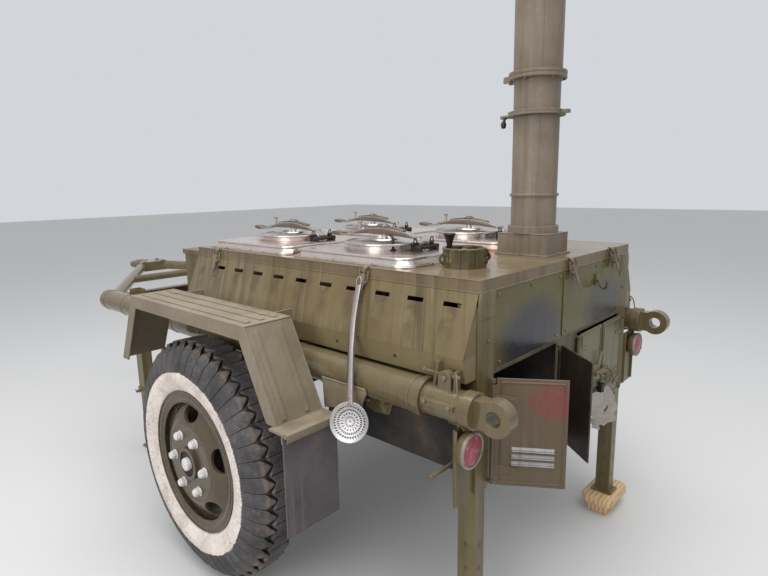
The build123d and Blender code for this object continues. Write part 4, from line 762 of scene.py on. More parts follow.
def middle_block():
    """A block in the middle of the tread, its zigzag edges between the lugs' points."""
    half = LUG_PITCH * TYRE_R / 2 - 0.0016
    inner = LUG_TIP - ZIGZAG
    outer = inner + 0.023
    outline = [(-half, outer), (0, inner), (half, outer), (half, -inner), (0, -outer), (-half, -inner)]
    return plate("block", [on_wheel(x, across, 0.4500) for x, across in outline], (0, 0, 0.0175), 0.0022)


def wall_rib(x, foot):
    """A fine rib down the sidewall from a lug."""
    side_view = [(0.0980, 0.3640), (0.1022, 0.3600), (0.1037, 0.3450), (0.1037, 0.3340),
                 (0.1020, foot + 0.004), (0.0975, foot), (0.0960, foot + 0.008)]
    rib = plate("rib", [on_wheel(x - 0.0028, across, radius) for across, radius in side_view], (0.0056, 0, 0))
    return rounded(rib, 0.0012, 1)


def tyre():
    outer = [shoulder_lug()]
    for x, foot in ((-0.0120, 0.322), (0, 0.330), (0.0120, 0.316)):
        outer.append(wall_rib(x, foot))
    outer = joined("outer_lug", outer)
    away = Matrix.Translation(WHEEL_CENTRE)
    to_inner = away @ Matrix.Scale(-1, 4, (0, 1, 0)) @ away.inverted()
    inner = moved_copy(outer, "inner_lug", wheel_turn(LUG_PITCH / 2) @ to_inner)
    sector = joined("sector", [outer, inner, middle_block()])
    parts = [tyre_carcass(), sector]
    for index in range(1, LUGS):
        parts.append(moved_copy(sector, "sector", wheel_turn(index * LUG_PITCH)))
    return joined("lugged_tyre_left", parts)


def wheel_nut():
    """A domed hexagonal nut on its washer."""
    at = on_wheel(0, NUT_FACE, STUD_CIRCLE_R)
    bpy.ops.object.select_all(action="DESELECT")
    bpy.ops.mesh.primitive_cylinder_add(vertices=6, radius=0.0168, depth=0.0150,
                                        location=at + Vector((0, 0.0105, 0)), rotation=(pi / 2, 0, 0))
    nut = settle(bpy.context.object, "nut")
    rounded(nut, 0.0022, 3)
    collar = turned("collar", [(0, 0.0002), (0.0190, 0.0002), (0.0190, 0.0022), (0.0160, 0.0045),
                               (0, 0.0045)], at, "Y", 24)
    dome = turned("dome", [(0, 0.0160), (0.0142, 0.0160), (0.0142, 0.0200), (0.0128, 0.0230),
                           (0.0098, 0.0250), (0.0052, 0.0258), (0, 0.0260)],
                  at, "Y", 24)
    return joined("wheel_nuts_left", [nut, collar, dome])


def wheel_nuts():
    """Six white nuts, and the white cap in the hub's ring."""
    first = wheel_nut()
    ring = [first]
    for index in range(1, 6):
        ring.append(moved_copy(first, "nut", wheel_turn(index * pi / 3)))
    ring = joined("wheel_nuts_left", ring)
    ring.data.transform(wheel_turn(pi / 6))
    cap = turned("cap", [(0.0250, 0.1035), (0.0248, 0.1150), (0.0232, 0.1195), (0.0185, 0.1220), (0, 0.1226)],
                 WHEEL_CENTRE, "Y", 40)
    return joined("wheel_nuts_left", [ring, cap])


def rim_rings():
    """The rolled lip of the rim, its lock ring and the bead round the disc's opening."""
    lip = [(0.2715, 0.0846), (0.2730, 0.0880), (0.2756, 0.0890), (0.2776, 0.0878), (0.2780, 0.0846),
           (0.2715, 0.0846)]
    lock = [(0.2500, 0.0846), (0.2512, 0.0866), (0.2560, 0.0872), (0.2608, 0.0866), (0.2620, 0.0846),
            (0.2500, 0.0846)]
    bead = [(0.2308, 0.0792), (0.2312, 0.0822), (0.2336, 0.0836), (0.2366, 0.0830), (0.2380, 0.0804),
            (0.2308, 0.0792)]
    swell = [(0.1440, 0.0966), (0.1470, 0.0982), (0.1500, 0.0984), (0.1535, 0.0964), (0.1440, 0.0966)]
    rings = [turned("ring", profile, WHEEL_CENTRE, "Y", 96) for profile in (lip, lock, bead, swell)]
    return joined("rim_rings_left", rings)


def hub_recess_shade():
    """A dark ring on the floor of the hub's ring: painted shade in the hub's recess."""
    profile = [(0.0255, 0.1026), (0.0495, 0.1026), (0.0490, 0.1042), (0.0400, 0.1037), (0.0300, 0.1044),
               (0.0255, 0.1040), (0.0255, 0.1026)]
    return turned("hub_grease_left", profile, WHEEL_CENTRE, "Y", 48)


def tyre_valve():
    stem = bent("valve_left", [on_wheel(0.070, 0.066, 0.222), on_wheel(0.069, 0.085, 0.216),
                               on_wheel(0.064, 0.096, 0.200)], 0.0035)
    cap = rod("valve_cap", on_wheel(0.0645, 0.095, 0.202), on_wheel(0.0605, 0.103, 0.190), 0.0050, 12, 0.001)
    return joined("valve_left", [stem, cap])


def wheels():
    rubber = {"left": tyre()}
    nuts = wheel_nuts()
    rings = rim_rings()
    recess_shade = hub_recess_shade()
    valve = tyre_valve()
    rubber["right"] = other_side(rubber["left"], "lugged_tyre_right")
    for side, piece in rubber.items():
        finish(piece, TYRE[side], "wheel_" + side, ["tyre_" + side], angle=40)
    both_sides(nuts, NUT_WHITE, "wheel_left")
    both_sides(rings, WHEEL_PAINT, "wheel_left")
    # Painted shade: a dark ring in each hub's recess.
    both_sides(recess_shade, STOVE, "wheel_left")
    both_sides(valve, BLACK_IRON, "wheel_left")


# Boiler lids, bows and pans

LIDS = (
    # name, x from the mudguards' middle, distance from the centre line
    ("rear", -0.400, 0.290),
    ("front", 0.190, 0.265),
)
LID_FOOT = 1.282
HINGE_BACK = 0.186
HINGE_Z = 1.289


def bow_z(x):
    """The height of the bow's upper face, by distance in front of the lid's middle."""
    return 1.340 + 0.0244 * x - 0.996 * x * x


def lid_trim(name, x, y):
    """What a lid carries: a rolled rim, a raised ring, a leaf spring between webs, rivets and a grip."""
    centre = place(x, y, LID_FOOT)
    rim = [(0.1430, 0.0045), (0.1480, 0.0082), (0.1545, 0.0090), (0.1600, 0.0068), (0.1608, 0.0030),
           (0.1585, 0.0006), (0.1500, 0.0010), (0.1430, 0.0045)]
    ring = [(0.0500, 0.0130), (0.0540, 0.0168), (0.0600, 0.0172), (0.0650, 0.0120), (0.0500, 0.0130)]
    metal = joined("lid_ring_" + name, [turned("rim", rim, centre, "Z", 96),
                                        turned("ring", ring, centre, "Z", 72)])
    leaf = [(step * 0.020, bow_z(step * 0.020) + 0.0002) for step in range(-5, 6)]
    leaf += [(px, pz + 0.0045) for px, pz in reversed(leaf)]
    parts = [plate("leaf", [place(x + px, y - 0.012, pz) for px, pz in leaf], (0, 0.024, 0), 0.001)]
    upper = [(step * 0.020, bow_z(step * 0.020) - 0.0050) for step in range(-8, 9)]
    lower = [(px, pz - 0.0200 * (1 - (px / 0.165) ** 2) - 0.0010) for px, pz in reversed(upper)]
    for across in (-0.0172, 0.0140):
        parts.append(plate("web", [place(x + px, y + across, pz) for px, pz in upper + lower], (0, 0.0032, 0),
                           0.0008))
    top = bow_z(0)
    parts.append(turned("washer", [(0, 0), (0.0220, 0), (0.0220, 0.0025), (0.0185, 0.0040), (0, 0.0040)],
                        place(x, y, top + 0.0040), "Z", 32))
    parts.append(turned("rivet", [(0, 0), (0.0130, 0), (0.0125, 0.0030), (0.0090, 0.0055), (0, 0.0062)],
                        place(x, y, top + 0.0078), "Z", 24))
    end = 0.278
    grip = [(end - 0.052, 1.3105), (end - 0.030, 1.3135), (end - 0.006, 1.3175), (end + 0.006, 1.3130),
            (end + 0.004, 1.3050), (end - 0.010, 1.3010), (end - 0.040, 1.2990)]
    parts.append(plate("grip", [place(x + px, y - 0.020, pz) for px, pz in grip], (0, 0.040, 0), 0.002))
    for across in (-0.013, 0.013):
        for along in (-0.165, 0.085, 0.165):
            z = bow_z(along) if along < 0.16 else 1.3170
            parts.append(turned("rivet", [(0, -0.002), (0.0060, -0.002), (0.0060, 0.0010), (0.0035, 0.0030),
                                          (0, 0.0035)],
                                place(x + along, y + across, z), "Z", 14))
    knob = turned("knob", [(0, 0), (0.0085, 0), (0.0085, 0.0040), (0.0070, 0.0060), (0, 0.0065)],
                  place(x + 0.133, y, 1.3535), "Z", 20)
    parts.append(knob)
    return metal, joined("bow_trim_" + name, parts)


def hinge_trim(name, x, y):
    """The hinge's double bar, its split pins and the clamp blocks either side of it."""
    hx = x - HINGE_BACK
    parts = []
    for back, z in ((0.000, HINGE_Z), (0.024, 1.2760)):
        parts.append(rod("bar", place(hx - back, y - 0.062, z), place(hx - back, y + 0.062, z), 0.0062, 16,
                         0.0015))
    for across in (-0.048, 0.048):
        parts.append(block("clamp", place(hx - 0.034, y + across - 0.007, 1.2640),
                           place(hx + 0.012, y + across + 0.007, 1.2860)))
        parts.append(bent("split_pin", [place(hx + 0.004, y + across, 1.2860),
                                        place(hx + 0.002, y + across, 1.3080),
                                        place(hx - 0.012, y + across, 1.3120),
                                        place(hx - 0.012, y + across, 1.2950)], 0.0022))
    return joined("hinge_trim_" + name, parts)


def lids():
    for name, x, y in LIDS:
        metal, iron = lid_trim(name + "_left", x, y)
        hinge = hinge_trim(name + "_left", x, y)
        body = "lid_" + name + "_left"
        both_sides(metal, LID, body)
        both_sides(iron, BOW, body)
        both_sides(hinge, BLACK_IRON)


PANS = (
    # rear edge, front edge, near and far edges from the centre line
    (-0.715, -0.140, 0.040, 0.540),
    (-0.100, 0.460, 0.040, 0.540),
)
PAN_CORNER = 0.060
PAN_FLANGE_TOP = 1.2400
SCREWS_A_SIDE = 6


def pan_trim():
    """A rolled bead round each pan's foot and the screws that hold its flange down."""
    beads = []
    screws = []
    for rear, front, near, far in PANS:
        for z, out, thick in ((1.2410, 0.0015, 0.0030), (1.2605, -0.0150, 0.0058)):
            points = []
            for cx, cy, start in ((front - PAN_CORNER, far - PAN_CORNER, 0),
                                  (rear + PAN_CORNER, far - PAN_CORNER, 90),
                                  (rear + PAN_CORNER, near + PAN_CORNER, 180),
                                  (front - PAN_CORNER, near + PAN_CORNER, 270)):
                for step in range(7):
                    turn = radians(start + 15 * step)
                    points.append(place(cx + (PAN_CORNER + out) * cos(turn),
                                        cy + (PAN_CORNER + out) * sin(turn), z))
            beads.append(bent("bead", points + points[:1], thick, smooth=False))
        for step in range(SCREWS_A_SIDE):
            share = (step + 0.5) / SCREWS_A_SIDE
            sx = rear + (front - rear) * share
            sy = near + (far - near) * share
            for px, py in ((sx, near - 0.0065), (sx, far + 0.0065), (rear - 0.0065, sy),
                           (front + 0.0065, sy)):
                screws.append(place(px, py, PAN_FLANGE_TOP))
    bead = joined("pan_beads_left", beads)
    heads = screw_heads("pan_screws_left", screws, "Z", 0.0048)
    both_sides(bead, PAN)
    both_sides(heads, BOW)
    clip = [(-0.048, -0.044), (0.000, 0.000), (0.044, -0.048), (0.040, -0.036), (0.000, 0.012),
            (-0.040, -0.036)]
    corner = plate("corner_clip", [place(-0.128 + px, 0.512 + py, 1.2420) for px, py in clip], (0, 0, 0.012),
                   0.002)
    finish(corner, PAINT)


def screw_heads(name, points, axis, radius, sign=1):
    """Slightly domed screw heads, facing along an axis, as one piece."""
    profile = [(0, -0.001), (radius, -0.001), (radius, radius * 0.30), (radius * 0.75, radius * 0.55),
               (0, radius * 0.65)]
    first = turned("screw", [(r, sign * along) for r, along in profile], points[0], axis, 14)
    parts = [first]
    for point in points[1:]:
        parts.append(shifted(first, "screw", point - points[0]))
    return joined(name, parts)


# Body: latches, screws and hooks

SIDE_LATCHES_X = (-0.575, 0.330)
REAR_LATCHES_Y = (0.0, -0.380)


def toggle_latch():
    """A toggle latch on a wall facing +Y, made about the deck's upper edge."""
    back = plate("back", [(-0.017, 0, -0.012), (0.017, 0, -0.012), (0.015, 0.012, -0.078),
                          (-0.015, 0.012, -0.078)],
                 (0, 0.0035, 0), 0.001)
    hook = plate("hook", [(0.012, 0.001, -0.020), (0.012, 0.010, -0.022), (0.012, 0.016, -0.012),
                          (0.012, 0.013, -0.002), (0.012, 0.003, 0.004), (0.012, -0.012, 0.004),
                          (0.012, -0.012, 0.001), (0.012, 0.001, 0.001)],
                 (-0.024, 0, 0), 0.001)
    lever = plate("lever", [(-0.013, 0.013, -0.020), (0.013, 0.013, -0.020), (0.009, 0.030, -0.082),
                            (0.004, 0.034, -0.092), (-0.004, 0.034, -0.092), (-0.009, 0.030, -0.082)],
                            (0, 0.0035, 0.001), 0.001)
    ribs = [plate("cheek", [(x, 0.004, -0.022), (x, 0.019, -0.022), (x, 0.028, -0.056), (x, 0.010, -0.060)],
                  (0.0025, 0, 0), 0.0005) for x in (-0.0135, 0.011)]
    loop = bent("loop", [(-0.010, 0.020, -0.048), (-0.011, 0.019, -0.020), (-0.009, 0.015, 0.000),
                         (0.000, 0.012, 0.006), (0.009, 0.015, 0.000), (0.011, 0.019, -0.020),
                         (0.010, 0.020, -0.048)], 0.0026)
    pin = rod("pin", (-0.019, 0.017, -0.048), (0.019, 0.017, -0.048), 0.0042, 16, 0.001)
    tail = bent("tail", [(0.002, 0.032, -0.080), (0.004, 0.040, -0.098), (-0.004, 0.043, -0.112),
                         (-0.012, 0.038, -0.106)],
                0.0028)
    return joined("latch", [back, hook, lever, loop, pin, tail] + ribs)


def latches():
    first = toggle_latch()
    parts = []
    for x in SIDE_LATCHES_X:
        left = moved_copy(first, "latch", Matrix.Translation(place(x, DECK_HALF, DECK_TOP)))
        parts += [left, other_side(left, "latch")]
    quarter = Matrix.Rotation(radians(90), 4, "Z")
    for y in REAR_LATCHES_Y:
        parts.append(moved_copy(first, "latch", Matrix.Translation((BODY_REAR, y, DECK_TOP)) @ quarter))
    bpy.data.objects.remove(first)
    finish(joined("toggle_latches", parts), WORN_PAINT, replaces=["latches"])


def body_plates():
    """Screws along both sides and across the rear, and a cover plate on each rear corner."""
    side = [place(x, 0.6470, 0.985) for x in (-0.985, -0.760, -0.500, -0.240, 0.020, 0.280, 0.475)]
    screws = screw_heads("side_screws_left", side, "Y", 0.0055)
    both_sides(screws, STOVE)
    corner = [(0.5015, 1.1200), (0.5860, 1.1200), (0.5860, 1.1700), (0.5795, SKIRT_FOOT),
              (0.5015, SKIRT_FOOT)]
    cover = plate("corner_plate_left", [place(-1.0222, y, z) for y, z in corner], (0.0055, 0, 0), 0.0006)
    both_sides(cover, PAINT)
    rear = [place(-1.0205, y, z) for y, z in ((0.539, 1.162), (0.533, 1.053), (0.470, 0.975), (0.090, 0.975),
                                              (0.480, 1.180), (0.075, 1.180), (0.010, 0.975), (-0.470, 0.975),
                                              (-0.480, 1.180), (-0.240, 1.180), (0.280, 1.180),
                                              (-0.539, 1.162), (-0.533, 1.053))]
    finish(screw_heads("rear_screws", rear, "X", 0.0058, -1), BOW)


def rear_fittings():
    """A hook on its base and the strip over the rear panels' seam."""
    hook = bent("hook", [place(-1.021, -0.240, 1.135), place(-1.030, -0.240, 1.128),
                         place(-1.034, -0.240, 1.110), place(-1.052, -0.238, 1.092),
                         place(-1.068, -0.236, 1.106), place(-1.064, -0.236, 1.124)], 0.0055)
    base = block("hook_base", place(-1.0255, -0.254, 1.106), place(-1.0195, -0.226, 1.150), 0.0015)
    strip = block("seam_strip", place(-1.0235, 0.040, 0.965), place(-1.0190, 0.052, 1.194), 0.0010)
    finish(joined("rear_fittings", [hook, base, strip]), REAR_PAINT)


def deck_hems():
    """Rolled hems at the foot and the top of the deck's skirt."""
    hems = []
    for y in (-DECK_HALF, DECK_HALF):
        hems.append(rod("hem", place(REAR_WALL, y, SKIRT_FOOT), place(FRONT_WALL, y, SKIRT_FOOT), 0.0028, 12))
        hems.append(rod("fold", place(-1.018, y * 0.9985, 1.2335), place(0.498, y * 0.9985, 1.2335),
                        0.0022, 12))
    hems.append(rod("hem", place(REAR_WALL, -0.577, SKIRT_FOOT), place(REAR_WALL, 0.577, SKIRT_FOOT),
                    0.0028, 12))
    finish(joined("deck_hems", hems), DECK_PAINT)


def box_fittings():
    """Hinge straps on the front box's lid and catches on its front."""
    straps = []
    for y in (-0.36, 0.0, 0.36):
        straps.append(block("strap", place(0.500, y - 0.020, 1.2005), place(0.585, y + 0.020, 1.2045),
                            0.0015))
        straps.append(rod("knuckle", place(0.512, y - 0.020, 1.2020), place(0.512, y + 0.020, 1.2020),
                          0.0078, 16, 0.001))
    finish(joined("box_hinges", straps), PAINT, "front_box_lid")
    catches = []
    for y in (-0.28, 0.28):
        catches.append(block("catch", place(0.7795, y - 0.016, 1.085), place(0.7850, y + 0.016, 1.150),
                             0.0015))
        catches.append(bent("loop", [place(0.785, y - 0.010, 1.105), place(0.797, y - 0.012, 1.130),
                                     place(0.797, y, 1.150), place(0.797, y + 0.012, 1.130),
                                     place(0.785, y + 0.010, 1.105)], 0.0028))
    finish(joined("box_catches", catches), BOW)


# Filler, lamps, clamps and skimmer

FILLER = (-0.830, 0.380)
PAN_ROD = (-0.515, 0.372)


def filler():
    """A rolled rim with its seams, a hook, a small funnel, and the bent rod between the pans."""
    x, y = FILLER
    corners = []
    for index in range(9):
        turn = radians(22.5 + 45 * index)
        corners.append(place(x + 0.0690 * cos(turn), y + 0.0690 * sin(turn), 1.2945))
    rim = bent("rim", corners, 0.0046, smooth=False)
    parts = [rim]
    for index in range(8):
        turn = radians(22.5 + 45 * index)
        spot = (x + 0.0702 * cos(turn), y + 0.0702 * sin(turn))
        parts.append(rod("seam", place(*spot, 1.2360), place(*spot, 1.2930), 0.0020, 8))
    finish(joined("filler_rim", parts), FILLER_PAINT)
    hook = bent("hook", [place(x - 0.030, y - 0.058, 1.285), place(x - 0.036, y - 0.076, 1.278),
                         place(x - 0.048, y - 0.082, 1.262), place(x - 0.040, y - 0.066, 1.250),
                         place(x - 0.052, y - 0.050, 1.246)], 0.0048)
    blob = block("hook_base", place(x - 0.046, y - 0.074, 1.262), place(x - 0.018, y - 0.052, 1.288), 0.003)
    finish(joined("filler_hook", [hook, blob]), BLACK_IRON)
    cone = [(0.0080, 0.000), (0.0095, 0.012), (0.0120, 0.026), (0.0185, 0.044), (0.0205, 0.046),
            (0.0200, 0.0485), (0.0165, 0.046), (0.0100, 0.028), (0.0060, 0.012), (0.0060, 0.000),
            (0.0080, 0.000)]
    funnel = turned("funnel", cone, place(x + 0.052, y + 0.010, 1.2920), "Z", 32)
    finish(funnel, BLACK_IRON)
    post = bent("post", [place(*PAN_ROD, 1.262), place(*PAN_ROD, 1.300), place(-0.505, 0.362, 1.314),
                         place(-0.470, 0.340, 1.318)], 0.0050)
    foot = turned("post_foot", [(0, 0), (0.0130, 0), (0.0130, 0.0030), (0.0080, 0.0070), (0, 0.0070)],
                  place(*PAN_ROD, 1.2640), "Z", 24)
    finish(joined("pan_rod", [post, foot]), BLACK_IRON)


LAMP_Y = 0.665
LAMP_Z = 0.775


def lamps():
    """A pale rim with three screws round each lens, its cable and the plate's folded edges."""
    rim = turned("lamp_rim_left", [(0.0445, 0.0), (0.0450, -0.0050), (0.0490, -0.0062), (0.0525, -0.0040),
                                   (0.0530, 0.0030), (0.0510, 0.0035), (0.0445, 0.0)],
                                   place(-1.0555, LAMP_Y, LAMP_Z), "X", 64)
    both_sides(rim, RIM_PALE)
    parts = []
    for index in range(3):
        turn = radians(90 + 120 * index)
        parts.append(turned("screw", [(0, -0.0010), (0.0040, -0.0010), (0.0038, -0.0024), (0, -0.0030)],
                            place(-1.0600, LAMP_Y + 0.0490 * cos(turn), LAMP_Z + 0.0490 * sin(turn)),
                            "X", 14))
    parts.append(block("fold", place(-1.0290, 0.6000, 0.605), place(-1.0160, 0.6040, 0.8340), 0.0012))
    parts.append(block("fold", place(-1.0290, 0.6960, 0.605), place(-1.0160, 0.7000, 0.8340), 0.0012))
    parts.append(bent("lead", [place(-1.030, LAMP_Y, 0.826), place(-1.018, 0.668, 0.842),
                               place(-0.990, 0.664, 0.838), place(-0.960, 0.640, 0.826)], 0.0045))
    both_sides(joined("lamp_fittings_left", parts), PAINT)


def clamps():
    """Grips and pins of the clamps on the rear eyes, and the locking pins of the rear legs."""
    y = 0.668
    parts = [
        rod("knob", place(-0.962, y, 0.975), place(-0.955, y, 0.975), 0.0075, 16, 0.002),
        rod("knob", place(-0.897, y, 0.975), place(-0.890, y, 0.975), 0.0075, 16, 0.002),
        rod("cam_pin", place(-0.971, y - 0.018, 0.968), place(-0.971, y + 0.020, 0.968), 0.0080, 20, 0.0015),
        rod("stop_bolt", place(-1.016, y, 0.975), place(-0.993, y, 0.975), 0.0065, 6, 0.001),
        bent("keeper", [place(-1.003, y + 0.004, 0.992), place(-1.014, y + 0.014, 0.986),
                        place(-1.022, y + 0.024, 0.964), place(-1.026, y + 0.026, 0.930)], 0.0024),
    ]
    for x in (-0.926, -1.010):
        parts.append(rod("bolt", place(x, 0.712, 0.900), place(x, 0.7215, 0.900), 0.0075, 6, 0.001))
    both_sides(joined("clamp_fittings_left", parts), WORN_PAINT)
    pin = joined("leg_pin_left", [
        rod("pin", place(REAR_LEG_X, 0.5900, 0.710), place(REAR_LEG_X, 0.7600, 0.710), 0.0064, 20),
        turned("head", [(0, 0), (0.0085, 0), (0.0090, 0.0020), (0.0090, 0.0060), (0.0070, 0.0085),
                        (0, 0.0085)],
               place(REAR_LEG_X, 0.7570, 0.710), "Y", 28),
    ])
    both_sides(pin, WORN_PAINT)


SKIMMER_BOWL = (-0.680, 0.7735, 0.7860)
FIRST_ROW = 0.0060
ROW_PITCH = 0.0056


def skimmer_bowl():
    """A dished, tinned bowl with rings of holes and a rolled rim."""
    middle = place(*SKIMMER_BOWL)
    tilt = Vector((-0.45, 0.85, 0.28)).normalized().to_track_quat("Z", "Y").to_matrix().to_4x4()
    profile = [(0.0010, -0.0125), (FIRST_ROW, -0.0125)]
    for row in range(1, 10):
        radius = FIRST_ROW + row * ROW_PITCH
        profile.append((radius, -0.0125 + 13.5 * 0.25 * radius * radius))
    profile += [(0.0595, 0.0000), (0.0625, 0.0010)]
    bowl = drawn([(radius, 0, z) for radius, z in profile])
    bpy.ops.mesh.spin(steps=72, angle=2 * pi, center=(0, 0, 0), axis=(0, 0, 1))
    done()
    clean(settle(bowl, "skimmer"))

    def is_hole(centre):
        radius = sqrt(centre.x ** 2 + centre.y ** 2)
        row = int((radius - FIRST_ROW) / ROW_PITCH)
        turn = int((degrees(atan2(centre.y, centre.x)) % 360) / 5)
        every = 2 if radius > 0.030 else 4
        return FIRST_ROW < radius < 0.0560 and row % 2 == 1 and (turn + row // 2) % every == 0

    without_faces(bowl, is_hole)
    solid = bowl.modifiers.new("thickness", "SOLIDIFY")
    solid.thickness = 0.0012
    use_modifier(bowl, solid)
    rounder = bowl.modifiers.new("rounder", "SUBSURF")
    rounder.levels = 1
    use_modifier(bowl, rounder)
    rim = turned("rim", [(0.0600, 0.0000), (0.0615, 0.0018), (0.0630, 0.0000), (0.0615, -0.0018),
                         (0.0600, 0.0000)],
                 (0, 0, 0), "Z", 72)
    bowl = joined("skimmer_bowl", [bowl, rim])
    bowl.data.transform(Matrix.Translation(middle) @ tilt)
    finish(bowl, TIN, replaces=["skimmer"])


def skimmer_handle():
    """A long strip handle with its hanging ring and the rivets that hold the bowl."""
    top = place(-0.573, 0.610, 1.180)
    foot = place(-0.672, 0.762, 0.838)
    way = (foot - top).normalized()
    across = Vector((1, 0.2, 0))
    across = (across - way * across.dot(way)).normalized()
    out = across.cross(way)
    half = across * 0.0100
    rise = [(0.0, 0.0, 0.0), (0.12, 0.0010, 0.005), (0.30, 0.0020, 0.010), (0.55, 0.0010, 0.011),
            (0.80, 0.0, 0.005), (1.0, 0.0, -0.002)]
    line = [top + (foot - top) * share + out * bulge + across * aside for share, bulge, aside in rise]
    outer = [point + out * 0.0013 for point in line]
    inner = [point - out * 0.0013 for point in reversed(line)]
    handle = plate("handle", outer + inner, half * 2, 0.0008)
    handle.data.transform(Matrix.Translation(-half))
    ring = bent("ring", [top + across * 0.008, top - way * 0.018 + across * 0.010, top - way * 0.030,
                         top - way * 0.018 - across * 0.010, top - across * 0.008], 0.0022)
    rivets = []
    for share in (0.975, 0.945):
        point = top + (foot - top) * share
        rivets.append(rod("rivet", point - out * 0.0030, point + out * 0.0030, 0.0032, 14, 0.0008))
    finish(joined("skimmer_strap", [handle, ring] + rivets), STRAP_STEEL)


# Doors

DOOR_HINGE_X = -1.032
DOOR_WIDE = 0.214
DOORS = (
    # name, hinge y, which way the closed leaf runs, how far it stands open
    ("door_left_outer", 0.520, -1, 57),
    ("door_left_inner", 0.078, 1, 52),
    ("door_right_inner", -0.078, -1, 0),
    ("door_right_outer", -0.520, 1, 0),
)


def door_turn(hinge_y, way, opening):
    pin = Matrix.Translation(place(DOOR_HINGE_X, hinge_y, 0))
    return pin @ Matrix.Rotation(radians(way * opening), 4, "Z") @ pin.inverted()


def doors():
    """Pressed borders, hinge straps and louvre caps on the four leaves, the caps pale on the open outer leaf.
    """
    for name, hinge_y, way, opening in DOORS:
        move = door_turn(hinge_y, way, opening)
        near = hinge_y + way * 0.024
        far = hinge_y + way * (DOOR_WIDE - 0.010)
        low = min(near, far)
        high = max(near, far)
        face = DOOR_HINGE_X - 0.0025
        parts = []
        for z in (0.6150, 0.9290):
            parts.append(rod("press", place(face, low, z), place(face, high, z), 0.0032, 12))
        for y in (low, high):
            parts.append(rod("press", place(face, y, 0.6150), place(face, y, 0.9290), 0.0032, 12))
        for z in (0.655, 0.875):
            strap = [(hinge_y, z - 0.016), (hinge_y, z + 0.016), (hinge_y + way * 0.070, z + 0.010),
                     (hinge_y + way * 0.078, z), (hinge_y + way * 0.070, z - 0.010)]
            parts.append(plate("strap", [place(face - 0.0025, y, pz) for y, pz in strap], (0.0030, 0, 0),
                               0.0008))
            for step in (0.026, 0.052):
                parts.append(turned("rivet", [(0, 0.0010), (0.0048, 0.0010), (0.0045, -0.0012),
                                              (0.0025, -0.0028), (0, -0.0030)],
                                    place(face - 0.0025, hinge_y + way * step, z), "X", 14))
        trim = joined(name + "_trim", parts)
        middle = hinge_y + way * DOOR_WIDE * 0.55
        caps = []
        for row in range(3):
            z = 0.673 + row * 0.022
            cap = [(0.0005, 0.0025), (-0.0095, 0.0025), (-0.0112, 0.0000), (-0.0098, -0.0012),
                   (0.0005, 0.0160)]
            caps.append(plate("cap", [place(DOOR_HINGE_X + px, middle - 0.062, z + pz) for px, pz in cap],
                              (0, 0.124, 0), 0.0008))
        louvres = joined(name + "_louvres", caps)
        skin = {"door_left_outer": DOOR_PAINT, "door_left_inner": LEAF_DARK}.get(name, CLOSED_PAINT)
        for piece, material in ((trim, skin), (louvres, LOUVRE_PALE if name == "door_left_outer" else skin)):
            piece.data.transform(move)
            finish(piece, material, name)


def door_latch():
    """A latch and a crumpled heat shield that hang on the closed right inner door."""
    latch = joined("door_latch", [
        block("base", place(-1.0400, -0.285, 0.716), place(-1.0340, -0.215, 0.790), 0.0020),
        block("bar", place(-1.0520, -0.345, 0.742), place(-1.0400, -0.225, 0.760), 0.0025),
        plate("arm", [place(-1.0440, -0.235, 0.790), place(-1.0440, -0.262, 0.790),
                      place(-1.0480, -0.270, 0.835), place(-1.0480, -0.252, 0.840)], (-0.0045, 0, 0), 0.001),
        rod("pivot", place(-1.0600, -0.250, 0.751), place(-1.0380, -0.250, 0.751), 0.0085, 20, 0.0015),
        bent("pull", [place(-1.052, -0.335, 0.751), place(-1.068, -0.340, 0.740),
                      place(-1.072, -0.336, 0.716), place(-1.066, -0.326, 0.700)], 0.0045),
    ])
    finish(latch, PAINT, "door_right_inner")
    bpy.ops.object.select_all(action="DESELECT")
    bpy.ops.mesh.primitive_grid_add(x_subdivisions=36, y_subdivisions=22, size=1)
    sheet = settle(bpy.context.object, "heat_shield")
    corners = [place(-1.0480, -0.375, 0.503), place(-1.0560, -0.144, 0.557), place(-1.0420, -0.362, 0.663),
               place(-1.0400, -0.073, 0.695)]
    for vertex in sheet.data.vertices:
        u = vertex.co.x + 0.5
        v = vertex.co.y + 0.5
        foot = corners[0].lerp(corners[1], u)
        head = corners[2].lerp(corners[3], u)
        point = foot.lerp(head, v)
        crease = 0.010 * sin(9 * u + 4 * v) + 0.007 * sin(17 * v - 6 * u) + 0.005 * sin(23 * u + 11 * v)
        vertex.co = point + Vector((-0.012 - crease * (1 - 0.6 * v) - 0.020 * sin(pi * v), 0,
                                    0.006 * sin(14 * u)))
    without_faces(sheet, lambda spot: (spot.y + 0.270) ** 2 + (spot.z - 0.600) ** 2 < 0.016 ** 2)
    solid = sheet.modifiers.new("thickness", "SOLIDIFY")
    solid.thickness = 0.0014
    use_modifier(sheet, solid)
    finish(sheet, SHIELD, "door_right_inner", angle=60)
    tab = joined("shield_tabs", [
        block("tab", place(-1.0580, -0.150, 0.655), place(-1.0340, -0.120, 0.720), 0.0015),
        block("tab", place(-1.0580, -0.290, 0.640), place(-1.0340, -0.262, 0.700), 0.0015),
    ])
    finish(tab, BLACK_IRON, "door_right_inner")


# Mudguards and flaps

def guard_arch(reach, flat, y, top):
    """The mudguard's side view, given half its length at the foot and at the top."""
    foot = 0.788
    return [place(-reach, y, foot), place(-flat, y, top), place(flat, y, top), place(reach, y, foot)]


